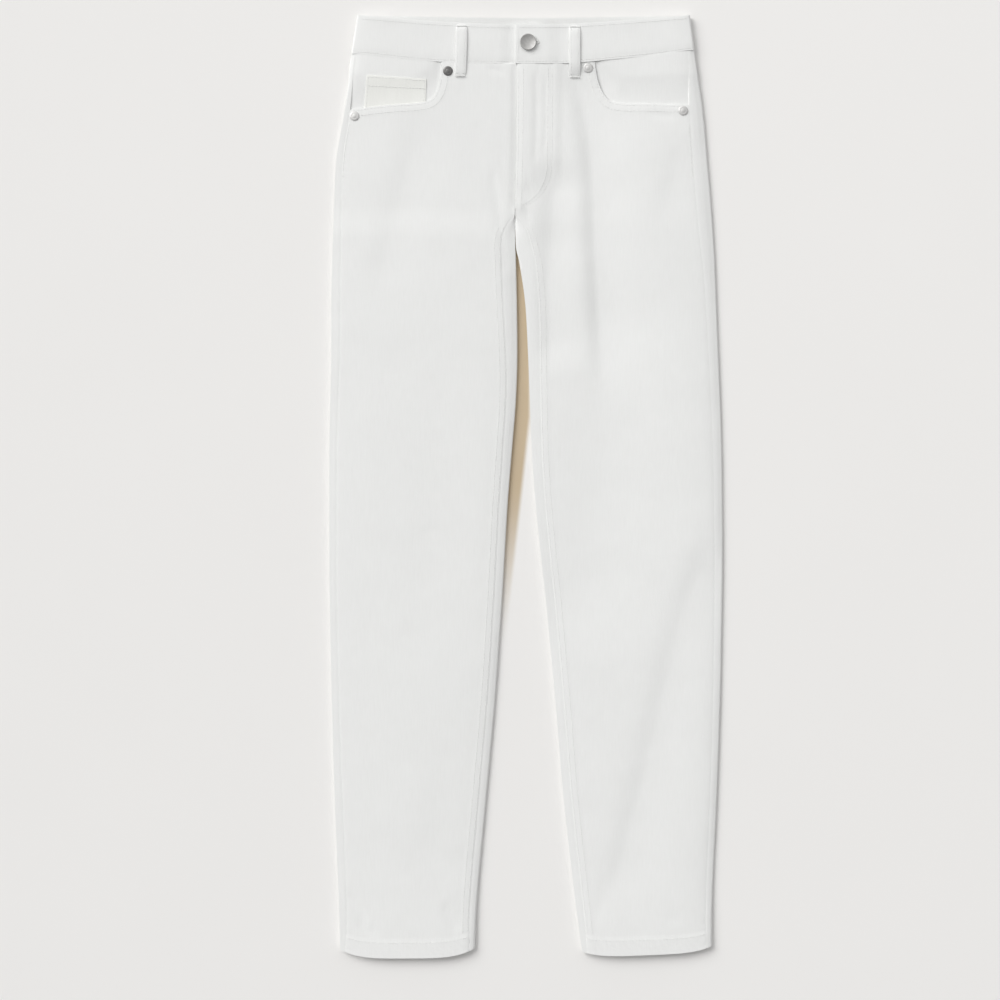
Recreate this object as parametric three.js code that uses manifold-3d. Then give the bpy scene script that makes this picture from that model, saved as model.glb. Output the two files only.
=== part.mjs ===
// High-waisted mom jeans in white denim, laid flat on their back with the legs straight.
// Millimetres. +X is the wearer's left, +Y points to the waist and +Z is up from the surface they lie on.
// The origin is on that surface, under the middle of the jeans.
// "down" is the distance from the waist's highest point towards the hems.
// side is -1 for the wearer's right and 1 for the left.
import * as THREE from "three";
import { mergeVertices } from "three/addons/utils/BufferGeometryUtils.js";
import Module from "manifold-3d";

const wasm = await Module();
wasm.setup();

// Cloth and gaps
const CLOTH = 1.2;
const HEM_CLOTH = 2.2;
const BAND_CLOTH = 1.8;
const LOOP_CLOTH = 1.5;
const COIN_CLOTH = 1.0;
const SEAM_GAP = 0.5;
const LAYER_GAP = 0.3;

// Overall places down the garment
const HALF_LENGTH = 471.25;
const PANEL_START = 48.4;
const CROTCH = 198;
const HEM_BASE = 933.6;
const HEM_DEPTH = 16;

// How fast the top layer rises behind a folded edge
const SHOULDER = 12;

const SIDES = [
  { side: -1, name: "right" },
  { side: 1, name: "left" },
];

const lerp = (a, b, t) => a + (b - a) * t;
const clamp01 = (t) => Math.min(1, Math.max(0, t));
const ramp = (from, to, x) => {
  const t = clamp01((x - from) / (to - from));
  return t * t * (3 - 2 * t);
};

// A smooth curve through a table's column that never swings past its points, held level past both ends.
function smoothCurve(xs, ys) {
  const last = xs.length - 1;
  const step = xs.slice(1).map((x, i) => (ys[i + 1] - ys[i]) / (x - xs[i]));
  const slope = xs.map((_, i) => {
    if (i === 0) return step[0];
    if (i === last) return step[last - 1];
    if (step[i - 1] * step[i] <= 0) return 0;
    const middle = (ys[i + 1] - ys[i - 1]) / (xs[i + 1] - xs[i - 1]);
    return Math.sign(middle) * Math.min(Math.abs(middle), 3 * Math.abs(step[i - 1]), 3 * Math.abs(step[i]));
  });
  return (x) => {
    if (x <= xs[0]) return ys[0];
    if (x >= xs[last]) return ys[last];
    let i = 0;
    while (x > xs[i + 1]) i += 1;
    const h = xs[i + 1] - xs[i];
    const t = (x - xs[i]) / h;
    const rest = 1 - t;
    return (
      ys[i] * (1 + 2 * t) * rest * rest +
      slope[i] * h * t * rest * rest +
      ys[i + 1] * t * t * (3 - 2 * t) -
      slope[i + 1] * h * t * t * rest
    );
  };
}

// Turns rows under named columns into one smooth curve for each column after the first.
function table(columns, rows) {
  const keys = rows.map((row) => row[0]);
  return Object.fromEntries(
    columns.slice(1).map((name, k) => [
      name,
      smoothCurve(
        keys,
        rows.map((row) => row[k + 1]),
      ),
    ]),
  );
}

// The outline seen from above: X of each folded edge, with the centre seam's X above the crotch.
const OUTLINE = table(
  ["down", "rightOuter", "rightInner", "leftInner", "leftOuter"],
  [
    [0, -169, -9.2, -8.8, 164],
    [46, -176, -9.2, -8.8, 170],
    [94, -181.5, -9.7, -9.3, 177],
    [144, -190, -10.2, -9.8, 181.5],
    [198, -192.5, -11.2, -10.8, 186],
    [220, -193.3, -11.4, -10.4, 187.5],
    [245, -194, -10, -6.5, 189],
    [285, -195, -9, -1.5, 190.5],
    [335, -195, -8.5, 1.5, 192.5],
    [385, -196, -10, 3.5, 194.5],
    [435, -197, -14, 5.5, 196],
    [485, -197, -18, 9, 196.6],
    [535, -197, -21, 14, 197],
    [585, -196.5, -24, 19.5, 196.5],
    [685, -194.5, -31, 29, 194.5],
    [785, -191.5, -40, 37.5, 191],
    [885, -187.5, -49, 49, 186.5],
    [942, -186, -51.5, 57, 186],
  ],
);

// How far each seam lies in from its folded edge, on top, where the back wraps to the front.
const SEAM = table(
  ["down", "rightOuter", "rightInner", "leftInner", "leftOuter"],
  [
    [0, 5, 0, 0, 6],
    [46, 5, 0, 0, 8],
    [100, 5.5, 0, 0, 14],
    [198, 7.5, 0.5, 0.5, 15],
    [207, 7.8, 7, 7, 14.8],
    [220, 8, 13, 13.5, 14.3],
    [240, 8.5, 14.5, 16.5, 13],
    [285, 9, 14, 14, 11],
    [385, 8, 10, 11, 9.5],
    [585, 7, 8, 9, 8],
    [885, 8, 7, 7.5, 6.5],
    [942, 5.5, 6, 6, 6],
  ],
);

// Heights above the surface: the underside, the top of a folded edge, and the top layer between the edges.
const HEIGHT = table(
  ["down", "floor", "edge", "middle"],
  [
    [0, 1.7, 5.6, 7.6],
    [56, 1.7, 5.6, 7.6],
    [66, 0, 5.2, 6.45],
    [78, 0, 5, 6.35],
    [160, 0, 4.8, 6.3],
    [250, 0, 4.6, 6],
    [400, 0, 4.4, 5.7],
    [850, 0, 4.6, 5.5],
    [915, 0, 6, 6.2],
    [942, 0, 6.2, 6.5],
  ],
);

// The waist seen from above: the upper edge and the lower seam of the band, front and back.
const WAIST = table(
  ["x", "frontTop", "frontSeam", "backTop", "backSeam"],
  [
    [-169, 0, 38.5, 0, 38.5],
    [-126, 3.6, 43.2, 0.7, 41],
    [-96, 5.8, 46, 1.3, 42.5],
    [-40, 8.6, 48.2, 2.1, 44],
    [0, 9.2, 48.4, 2.3, 44.3],
    [44, 8.6, 47.8, 2.1, 43.6],
    [84, 6.2, 44.4, 1.5, 41.6],
    [124, 3.4, 40.4, 0.8, 38.5],
    [164, 0, 34.8, 0, 34.8],
  ],
);

// The yoke's lower seam, by distance from the centre back.
const YOKE = table(
  ["fromCentre", "down"],
  [
    [0, 116],
    [90, 94],
    [180, 76],
  ],
);

// The large soft folds of the front: troughs along routes of [x, down].
const FOLDS = [
  { depth: 1.5, width: 7, route: [[37, 57], [49, 85], [57, 120], [60, 165], [62, 235], [66, 295]] },
  { depth: 1.8, width: 6.5, route: [[30, 157], [28, 181], [20, 207], [13, 235], [12, 275], [15, 325]] },
  { depth: 1.0, width: 18, route: [[66, 285], [59, 405], [52, 505], [54, 625]] },
  {
    depth: 1.7,
    width: 11,
    route: [[174, 530], [154, 575], [134, 645], [117, 715], [104, 775], [86, 835], [70, 890]],
  },
  { depth: 0.9, width: 14, route: [[-114, 110], [-124, 155], [-136, 205], [-144, 265]] },
  { depth: 0.7, width: 13, route: [[146, 130], [134, 165], [124, 205]] },
];
const FOLD_FADE = 30;
const FOLD_RIDGE = 0.35;

// Where down the top layer turns from one surface across the hips into two legs.
const LEGS_PART = [CROTCH - 8, CROTCH + 25];

// The fly: the wearer's left front laps over the right one.
const FLY_LAP = 6;
const FLY_RAISE = 0.8;
const FLY_STEP = 0.8;
const FLY_WIDTH = 38;
const FLY_END = 178;
const FLY_SLOPE = [FLY_WIDTH - 1, FLY_WIDTH + 7];
const UNDER_FLY_SLOPE = [-7, -1];

// Front pocket openings, cut in the front panels as [x, down] from the waist seam to the side.
const OPENINGS = {
  right: [
    [-84, 30], [-84.5, 50], [-86, 64], [-89, 75.5], [-95, 84],
    [-107, 87.5], [-130, 89], [-155, 91.5], [-190, 96],
  ],
  left: [
    [68, 30], [69, 50], [71.5, 64], [76, 76], [83, 84.5],
    [95, 88], [119, 88.6], [139, 89.2], [190, 90.5],
  ],
};
const OPENING_CORNER = { right: [-190, 30], left: [190, 30] };
const FACING_DEPTH = { side: 1.65, right: 3.05, left: 1.65 };
const FACING_SINK = [4, 18];
const FACING_RISE = [5, 22];
const FACING_INNER = { right: -72, left: 56 };
const FACING_END = 102;

const RIVETS = [
  { name: "rivet_right_inner", x: -78, down: 56, radius: 4.9 },
  { name: "rivet_left_inner", x: 62, down: 52.8, radius: 4.9 },
  { name: "rivet_right_outer", x: -171.5, down: 100.5, radius: 4.9 },
  { name: "rivet_left_outer", x: 157, down: 95.5, radius: 4.9 },
];
const BUTTON = { x: 2, down: 27.5, shank: 4.5, radius: 8.8 };

// The waistband's own levels and its overlap at the centre front.
const BAND_TOP = 8.1;
const BAND_EDGE = 7;
const OVERLAP_END = -9.8;
const UNDERLAP_END = 16;
const OVERLAP_RAISE = 1.1;
const OVERLAP_SLOPE = [20, 36];
const UNDERLAP_DIP = 1;
const UNDERLAP_SLOPE = [-26, -13];
const BAND_ROUND = 2.5;
const BAND_HEIGHT = 39;

const LOOP_WIDTH = 11;
const LOOP_LENGTH = 55;
const LOOP_START = 1;
const LOOP_SEAT = 0.6;
const FRONT_LOOPS = [
  { name: "belt_loop_front_right", x: -64.5, lean: -1.5 },
  { name: "belt_loop_front_left", x: 48.5, lean: 0 },
];
const BACK_LOOPS = [
  { name: "belt_loop_back_right", x: -140 },
  { name: "belt_loop_back_centre", x: -8 },
  { name: "belt_loop_back_left", x: 124 },
];
const BACK_LOOP_CLOTH = 1.3;
const BACK_LOOP_BELOW_BAND = 10;

// Back patch pockets, by the back panel's own columns and rows.
const BACK_POCKET = { from: 0.19, to: 0.895, top: 144, shoulder: 252, tip: 272, recess: 1.5 };
const RECESS_ACROSS = { start: 0.03, full: 0.01 };
const RECESS_DOWN = { start: 6, full: 2, end: 8 };

const DENIM = new THREE.MeshStandardMaterial({ color: 0xecedeb, roughness: 0.92, metalness: 0 });
const ZIP_TAPE = new THREE.MeshStandardMaterial({ color: 0xdfe0de, roughness: 0.8, metalness: 0 });
const METAL = new THREE.MeshStandardMaterial({ color: 0x8e8e8c, roughness: 0.3, metalness: 1 });

const garment = new THREE.Group();

function addNode(name, geometry, material) {
  const mesh = new THREE.Mesh(geometry, material);
  mesh.name = name;
  garment.add(mesh);
  return mesh;
}

const place = (x, down, z) => new THREE.Vector3(x, HALF_LENGTH - down, z);

// How far down a column crosses a curved seam.
// xAt gives the column's X and seamAt the seam's distance down.
function crossing(xAt, seamAt) {
  let down = seamAt(0);
  for (let i = 0; i < 5; i += 1) down = seamAt(xAt(down));
  return down;
}

const edgeName = (side, end) => (side < 0 ? "right" : "left") + end;
const edgeX = (side, end, down) => OUTLINE[edgeName(side, end)](down);
const seamIn = (side, end, down) => SEAM[edgeName(side, end)](down);

// The distance from a point to a line of [x, down] places, and which side of the line it is on: 1 or -1.
function nearestOn(line, x, down) {
  let away = Infinity;
  let hand = 1;
  for (let i = 0; i + 1 < line.length; i += 1) {
    const [ax, ad] = line[i];
    const [bx, bd] = line[i + 1];
    const squared = (bx - ax) ** 2 + (bd - ad) ** 2;
    const along = clamp01(((x - ax) * (bx - ax) + (down - ad) * (bd - ad)) / squared);
    const distance = Math.hypot(x - lerp(ax, bx, along), down - lerp(ad, bd, along));
    if (distance < away) {
      away = distance;
      hand = Math.sign((bx - ax) * (down - ad) - (bd - ad) * (x - ax));
    }
  }
  return { away, hand };
}

// The depth of the soft folds at a point of the front, with low ridges beside each trough.
function foldDepth(x, down) {
  let depth = 0;
  for (const { route, width, depth: deepest } of FOLDS) {
    const first = route[0][1];
    const last = route[route.length - 1][1];
    const start = ramp(first - FOLD_FADE / 2, first + FOLD_FADE, down);
    const end = ramp(last + FOLD_FADE / 2, last - FOLD_FADE, down);
    const q = (nearestOn(route, x, down).away / width) ** 2;
    depth += deepest * (start * end) * (1 - FOLD_RIDGE * q) * Math.exp(-q);
  }
  return depth;
}

// Height of the top layer's outer face.
function topZ(side, x, down) {
  const edge = HEIGHT.edge(down);
  const radius = (edge - HEIGHT.floor(down)) / 2;
  const fromOuter = Math.max(0, side * (edgeX(side, "Outer", down) - x) - radius);
  const fromInner = Math.max(0, side * (x - edgeX(side, "Inner", down)) - radius);
  const legs = ramp(...LEGS_PART, down);
  const rise = (1 - Math.exp(-fromOuter / SHOULDER)) * (1 - legs * Math.exp(-fromInner / SHOULDER));
  return edge + (HEIGHT.middle(down) - edge) * rise - foldDepth(x, down) * rise;
}

// Wall thickness, doubled where the hem is turned up inside.
const HEM_TOP = HEM_BASE - HEM_DEPTH;
const clothAt = (down) => lerp(CLOTH, HEM_CLOTH, ramp(HEM_TOP - 1, HEM_TOP, down));

// A closed wall between an outer and an inner face that share rows and columns: at(row, column, layer).
function wall(rows, columns, at) {
  const positions = [];
  for (let layer = 0; layer < 2; layer += 1)
    for (let r = 0; r < rows; r += 1)
      for (let c = 0; c < columns; c += 1) positions.push(...at(r, c, layer).toArray());
  const id = (layer, r, c) => (layer * rows + r) * columns + c;
  const index = [];
  const quad = (a, b, c, d) => index.push(a, b, c, a, c, d);
  for (let r = 0; r + 1 < rows; r += 1)
    for (let c = 0; c + 1 < columns; c += 1) {
      quad(id(0, r, c), id(0, r, c + 1), id(0, r + 1, c + 1), id(0, r + 1, c));
      quad(id(1, r, c), id(1, r + 1, c), id(1, r + 1, c + 1), id(1, r, c + 1));
    }
  const lastRow = rows - 1;
  const lastColumn = columns - 1;
  for (let r = 0; r < lastRow; r += 1) {
    quad(id(0, r, 0), id(0, r + 1, 0), id(1, r + 1, 0), id(1, r, 0));
    quad(id(0, r + 1, lastColumn), id(0, r, lastColumn), id(1, r, lastColumn), id(1, r + 1, lastColumn));
  }
  for (let c = 0; c < lastColumn; c += 1) {
    quad(id(0, 0, c + 1), id(0, 0, c), id(1, 0, c), id(1, 0, c + 1));
    quad(id(0, lastRow, c), id(0, lastRow, c + 1), id(1, lastRow, c + 1), id(1, lastRow, c));
  }
  return facingOut(positions, index);
}

// Builds the geometry and turns its triangles round if they face inwards.
function facingOut(positions, index) {
  const corner = (i) => new THREE.Vector3().fromArray(positions, 3 * index[i]);
  let volume = 0;
  for (let i = 0; i < index.length; i += 3) {
    volume += corner(i).dot(corner(i + 1).cross(corner(i + 2)));
  }
  for (let i = 0; volume < 0 && i < index.length; i += 3) {
    [index[i + 1], index[i + 2]] = [index[i + 2], index[i + 1]];
  }
  const geometry = new THREE.BufferGeometry();
  geometry.setAttribute("position", new THREE.Float32BufferAttribute(positions, 3));
  geometry.setIndex(index);
  geometry.computeVertexNormals();
  return geometry;
}

// Joins and cuts
function toSolid(geometry) {
  const bare = geometry.clone();
  bare.deleteAttribute("normal");
  bare.deleteAttribute("uv");
  const merged = mergeVertices(bare, 1e-4);
  return new wasm.Manifold(
    new wasm.Mesh({
      numProp: 3,
      vertProperties: merged.attributes.position.array,
      triVerts: new Uint32Array(merged.index.array),
    }),
  );
}

function toGeometry(solid) {
  const mesh = solid.getMesh();
  const geometry = new THREE.BufferGeometry();
  geometry.setAttribute("position", new THREE.BufferAttribute(mesh.vertProperties, 3));
  geometry.setIndex(new THREE.BufferAttribute(mesh.triVerts, 1));
  geometry.computeVertexNormals();
  return geometry;
}

// Rows down a leg. Front and back share them below the crotch, so that their seams meet.
const FRONT_HIP_ROWS = [PANEL_START, 57, 65, 74, 84, 95, 108, 124, 142, 160, 176, 188];
const BACK_HIP_ROWS = [124, 138, 142, 152, 164, 176, 188];
const CROTCH_ROWS = [CROTCH, 203, 209, 217, 227, 242, 258, 274, 280];
const LEG_ROWS = [305, 340, 375, 410, 450, 490, 530, 570, 610, 650, 690, 730, 770, 810, 850, 885];
const HEM_ROWS = [HEM_TOP - 1, HEM_TOP, HEM_BASE];
const LOWER_ROWS = [...CROTCH_ROWS, ...LEG_ROWS, ...HEM_ROWS];
const FRONT_ROWS = [...FRONT_HIP_ROWS, ...LOWER_ROWS];
const BACK_ROWS = [...BACK_HIP_ROWS, ...LOWER_ROWS];

// Hems bow down between their corners, and the left one is tilted a little.
const HEMS = {
  right: { sag: 9.4, outer: 0, inner: -1 },
  left: { sag: 6, outer: -3, inner: 2.4 },
};
const HEM_FADE = 70;

function hemShift(side, x, down) {
  const outer = edgeX(side, "Outer", down);
  const inner = edgeX(side, "Inner", down);
  const across = clamp01((x - outer) / (inner - outer));
  const hem = HEMS[side < 0 ? "right" : "left"];
  const bow = hem.sag * (1 - (2 * across - 1) ** 4) + lerp(hem.outer, hem.inner, across);
  return bow * ramp(HEM_BASE - HEM_FADE, HEM_BASE, down);
}

// The first rows of a front panel follow the curved waist seam.
const WAIST_FADE = 60;

// Fly: full above FLY_END, gone just above the crotch.
const flyMask = (down) => 1 - ramp(FLY_END, CROTCH - 2, down);
const lapMask = (down) => 1 - ramp(FLY_END - 14, FLY_END - 3, down);

function frontZ(side, x, down) {
  const z = topZ(side, x, down);
  const centre = edgeX(side, "Inner", down);
  if (side > 0) {
    const lap = 1 - ramp(...FLY_SLOPE, x - centre);
    return z + FLY_RAISE * lap * flyMask(down);
  }
  return z - FLY_STEP * ramp(...UNDER_FLY_SLOPE, x - centre) * flyMask(down);
}

const FRONT_COLUMNS = {
  right: [0, 0.03, 0.08, 0.16, 0.24, 0.32, 0.4, 0.48, 0.57, 0.66, 0.75, 0.84, 0.92, 0.96, 1],
  left: [
    0, 0.03, 0.08, 0.16, 0.25, 0.34, 0.43, 0.51, 0.57, 0.62, 0.67, 0.72, 0.76, 0.81, 0.86, 0.91, 0.96, 1,
  ],
};

// The edges of a front panel: the side seam, and the fly or inseam.
function frontOuterX(side, down) {
  return edgeX(side, "Outer", down) - side * (seamIn(side, "Outer", down) + SEAM_GAP);
}

function frontInnerX(side, down) {
  const lap = side < 0 ? FLY_LAP * lapMask(down) : 0;
  const gap = SEAM_GAP * ramp(CROTCH - 14, CROTCH - 10, down);
  return edgeX(side, "Inner", down) + side * (seamIn(side, "Inner", down) + gap) + lap;
}

// One front leg from the waist seam to the hem, with its pocket opening cut away.
function frontPanel({ side, name }) {
  const shares = FRONT_COLUMNS[name];
  const at = (r, c, layer) => {
    const row = FRONT_ROWS[r];
    const xAt = (down) => lerp(frontOuterX(side, down), frontInnerX(side, down), shares[c]);
    const start = crossing(xAt, (x) => WAIST.frontSeam(x) + SEAM_GAP);
    const down = row + (start - PANEL_START) * (1 - ramp(PANEL_START, PANEL_START + WAIST_FADE, row));
    const x = xAt(down);
    return place(x, down + hemShift(side, x, row), frontZ(side, x, down) - layer * clothAt(row));
  };
  return toGeometry(toSolid(wall(FRONT_ROWS.length, shares.length, at)).subtract(openingPrism(name)));
}

// The pocket opening as an upright prism, from its curve and the corner above the side seam.
function openingPrism(name) {
  const curve = new THREE.CatmullRomCurve3(OPENINGS[name].map(([x, down]) => place(x, down, 0)));
  const points = curve.getPoints(22).map((p) => new THREE.Vector2(p.x, p.y));
  const corner = place(...OPENING_CORNER[name], 0);
  points.push(new THREE.Vector2(corner.x, corner.y));
  const prism = new THREE.ExtrudeGeometry(new THREE.Shape(points), { depth: 20, bevelEnabled: false });
  return toSolid(prism);
}

// Distance from a point inside the pocket opening to its curved edge, negative under the front panel.
function insideOpening(name, x, down) {
  const { away, hand } = nearestOn(OPENINGS[name], x, down);
  return hand * (name === "right" ? 1 : -1) * away;
}

// The hip piece that shows inside the pocket opening and runs on under the front panel.
const FACING_SHARES = [0, 0.07, 0.135, 0.28, 0.43, 0.58, 0.725, 0.86, 1];
const FACING_ROWS = [0, 0.16, 0.32, 0.46, 0.6, 0.75, 0.9, 1];

function facingPoint({ side, name }, share, row, lift) {
  const xAt = (down) => lerp(frontOuterX(side, down), FACING_INNER[name], share);
  const start = crossing(xAt, (x) => WAIST.frontSeam(x) + SEAM_GAP);
  const down = lerp(start, FACING_END, row);
  const x = xAt(down);
  const fromSide = side * (frontOuterX(side, down) - x);
  const depth = lerp(FACING_DEPTH.side, FACING_DEPTH[name], ramp(...FACING_SINK, fromSide));
  const z = topZ(side, x, down) - depth * (1 - ramp(...FACING_RISE, insideOpening(name, x, down)));
  return place(x, down, z + lift);
}

function pocketFacing(one) {
  const at = (r, c, layer) => facingPoint(one, FACING_SHARES[c], FACING_ROWS[r], -layer * CLOTH);
  return wall(FACING_ROWS.length, FACING_SHARES.length, at);
}

// The coin pocket lies on the right facing, from its own columns and rows.
const COIN_SHARES = FACING_SHARES.slice(2, 7);
const COIN_ROWS = FACING_ROWS.slice(2, 7);

function coinPocket() {
  const at = (r, c, layer) =>
    facingPoint(SIDES[0], COIN_SHARES[c], COIN_ROWS[r], LAYER_GAP + (1 - layer) * COIN_CLOTH);
  return wall(COIN_ROWS.length, COIN_SHARES.length, at);
}

// How far the underside is raised over a back pocket. across runs from the side to the centre.
function pocketRecess(across, row) {
  const { from, to, top, tip, recess } = BACK_POCKET;
  const { start, full } = RECESS_ACROSS;
  const columns = ramp(from - start, from - full, across) * (1 - ramp(to + full, to + start, across));
  const above = ramp(top - RECESS_DOWN.start, top - RECESS_DOWN.full, row);
  const below = 1 - ramp(tip + RECESS_DOWN.full, tip + RECESS_DOWN.end, row);
  return recess * columns * (above * below);
}

// A point round a folded edge. turn is 2 at the seam on top, 1 where the fold starts, 0 where it meets
// the underside and -1 a short way in along the underside. inset is the depth below the outer face.
const STRIP = 18;

function edgePoint(side, end, turn, down, inset) {
  const dir = end === "Outer" ? side : -side;
  const edge = edgeX(side, end, down);
  const seam = seamIn(side, end, down);
  const low = HEIGHT.floor(down);
  const top = HEIGHT.edge(down);
  const half = (top - low) / 2;
  const reach = Math.min(half, 0.6 * seam);
  const inReach = Math.max(reach - inset, 0.25 * reach);
  const folded = edge - dir * (Math.min(inset, 0.3 + seam) + inReach);
  if (turn > 1) {
    const x = lerp(folded, edge - dir * seam, turn - 1);
    return [x, topZ(side, x, down) - inset];
  }
  if (turn < 0) return [folded + dir * STRIP * turn, low + inset];
  const angle = Math.PI * turn;
  return [folded + dir * inReach * Math.sin(angle), (top + low) / 2 - (half - inset) * Math.cos(angle)];
}

// Columns of a back piece: round the outer fold, across the underside, and round the inner fold.
const OUTER_TURNS = [2, 1.5, 1, 0.75, 0.5, 0.25, 0];
const UNDER_COLUMNS = [0.16, 0.18, 0.34, 0.5, 0.7, 0.905, 0.925];
const INNER_TURNS = [-1, 0, 0.25, 0.5, 0.75, 1, 1.5, 2];
const BACK_COLUMNS = [
  ...OUTER_TURNS.map((turn) => ({ end: "Outer", turn })),
  ...UNDER_COLUMNS.map((across) => ({ across })),
  ...INNER_TURNS.map((turn) => ({ end: "Inner", turn })),
];

// The inner fold grows out of the centre back seam at the crotch.
const INNER_GROWTH = table(
  ["down", "turn"],
  [
    [CROTCH - 10, 0],
    [CROTCH, 0.8],
    [CROTCH + 5, 2],
  ],
);

function backSection(side, column, down, row, inset) {
  if (column.end === "Outer") return edgePoint(side, "Outer", column.turn, down, inset);
  if (column.end === "Inner") {
    const reached = INNER_GROWTH.turn(down);
    return edgePoint(side, "Inner", -1 + ((column.turn + 1) * (reached + 1)) / 3, down, inset);
  }
  const [outer] = edgePoint(side, "Outer", 0, down, inset);
  const [inner] = edgePoint(side, "Inner", -1, down, inset);
  return [lerp(outer, inner, column.across), HEIGHT.floor(down) + pocketRecess(column.across, row) + inset];
}

const centreBack = (down) => (OUTLINE.rightInner(down) + OUTLINE.leftInner(down)) / 2;
const yokeSeam = (x) => YOKE.down(Math.abs(x - centreBack(100)));

// The distance down of a back panel's row, which follows the yoke seam at first.
const BACK_START = BACK_ROWS[0];
const BACK_EVEN = CROTCH - 10;

function backDown(side, column, row) {
  const start = crossing(
    (down) => backSection(side, column, down, 0, 0)[0],
    (x) => yokeSeam(x) + SEAM_GAP,
  );
  return row + (start - BACK_START) * (1 - clamp01((row - BACK_START) / (BACK_EVEN - BACK_START)));
}

// One back leg from the yoke seam to the hem, wrapped round to the seams on top.
function backPanel({ side }) {
  const at = (r, c, layer) => {
    const row = BACK_ROWS[r];
    const down = backDown(side, BACK_COLUMNS[c], row);
    const [x, z] = backSection(side, BACK_COLUMNS[c], down, row, layer * clothAt(row));
    return place(x, down + hemShift(side, x, row), z);
  };
  return wall(BACK_ROWS.length, BACK_COLUMNS.length, at);
}

// The yoke between the waist seam and the back leg.
const YOKE_ROWS = [0, 0.16, 0.4, 0.7, 1];
const YOKE_COLUMNS = BACK_COLUMNS.filter(({ end, turn }) => end !== "Inner" || turn === -1 || turn === 2);

function yoke({ side }) {
  const at = (r, c, layer) => {
    const column = YOKE_COLUMNS[c];
    const xAt = (down) => backSection(side, column, down, 0, 0)[0];
    const waistSeam = column.end === "Outer" && column.turn > 1 ? WAIST.frontSeam : WAIST.backSeam;
    const start = crossing(xAt, (x) => waistSeam(x) + SEAM_GAP);
    const down = lerp(start, crossing(xAt, yokeSeam), YOKE_ROWS[r]);
    const [x, z] = backSection(side, column, down, 0, layer * CLOTH);
    return place(x, down, z);
  };
  return wall(YOKE_ROWS.length, YOKE_COLUMNS.length, at);
}

// A five-sided patch pocket lying flat under the seat.
function backPocket({ side }) {
  const rows = 7;
  const columns = 7;
  const { from, to, top, shoulder, tip } = BACK_POCKET;
  const at = (r, c, layer) => {
    const share = c / (columns - 1);
    const column = { across: lerp(from, to, share) };
    const end = lerp(shoulder, tip, 1 - Math.abs(2 * share - 1));
    const down = backDown(side, column, lerp(top, end, r / (rows - 1)));
    const [x] = backSection(side, column, down, 0, 0);
    return place(x, down, layer * CLOTH);
  };
  return wall(rows, columns, at);
}

// Waistband: one strip from the lapped end, round the left side, under the back and round to the lower end.
const topLeftX = [OVERLAP_END, -4, 4, 14, 22, 30, 40, 56, 74, 92, 110, 128, 142, 154];
const topRightX = [-159, -147, -131, -113, -95, -77, -60, -44, -34, -24, -12, -4, 6, UNDERLAP_END];
const underX = [158, 140, 115, 88, 60, 30, 0, -30, -60, -98, -120, -145, -163];
const FOLD_ANGLES = [0, 0.25, 0.5, 0.75, 1];
const BAND_STATIONS = [
  ...topLeftX.map((x) => ({ on: "top", side: 1, x })),
  ...FOLD_ANGLES.map((turn) => ({ on: "fold", side: 1, turn: 1 - turn })),
  ...underX.map((x) => ({ on: "under", x })),
  ...FOLD_ANGLES.map((turn) => ({ on: "fold", side: -1, turn })),
  ...topRightX.map((x) => ({ on: "top", side: -1, x })),
];
const BAND_ROWS = 4;

// A place along the waist's upper edge, moved to its share of the width at the band's lower seam.
function atSeam(x) {
  const share = (x - OUTLINE.rightOuter(0)) / (OUTLINE.leftOuter(0) - OUTLINE.rightOuter(0));
  return lerp(OUTLINE.rightOuter(BAND_HEIGHT), OUTLINE.leftOuter(BAND_HEIGHT), share);
}

// The band's outer face on top. The lapped end rides over the lower one.
function bandZ(side, x) {
  const edge = side < 0 ? OUTLINE.rightOuter(0) : OUTLINE.leftOuter(0);
  const rise = 1 - Math.exp(-Math.max(0, side * (edge - x) - BAND_ROUND) / SHOULDER);
  const z = lerp(BAND_EDGE, BAND_TOP, rise);
  if (side > 0) return z + OVERLAP_RAISE * (1 - ramp(...OVERLAP_SLOPE, x));
  return z - UNDERLAP_DIP * ramp(...UNDERLAP_SLOPE, x);
}

function waistband() {
  const at = (r, c, layer) => {
    const station = BAND_STATIONS[c];
    const v = r / (BAND_ROWS - 1);
    const inset = layer * BAND_CLOTH;
    if (station.on === "fold") {
      const corner = edgeX(station.side, "Outer", 0);
      const down = lerp(WAIST.frontTop(corner), WAIST.frontSeam(corner), v);
      const low = HEIGHT.floor(down);
      const half = (BAND_EDGE - low) / 2;
      const folded = edgeX(station.side, "Outer", down) - station.side * half;
      const angle = Math.PI * station.turn;
      const x = folded + station.side * (half - inset) * Math.sin(angle);
      return place(x, down, (BAND_EDGE + low) / 2 - (half - inset) * Math.cos(angle));
    }
    const onTop = station.on === "top";
    const [top, seam] = onTop ? [WAIST.frontTop, WAIST.frontSeam] : [WAIST.backTop, WAIST.backSeam];
    const down = lerp(top(station.x), seam(atSeam(station.x)), v);
    const z = onTop ? bandZ(station.side, station.x) - inset : HEIGHT.floor(down) + inset;
    return place(lerp(station.x, atSeam(station.x), v), down, z);
  };
  return wall(BAND_ROWS, BAND_STATIONS.length, at);
}

// Front belt loops stand a little off the band. Each row is [distance from the top, lift].
const LOOP_PROFILE = [
  [0, 0],
  [5, 0.7],
  [12, 1.2],
  [22, 1.3],
  [30, 1],
  [37, 0.4],
  [42, 0],
  [48, 0],
  [LOOP_LENGTH, 0],
];
// Where a loop comes down off the band, below the band's seam.
const LOOP_ON_PANEL = { start: 1, full: 6, level: 52 };

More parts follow.
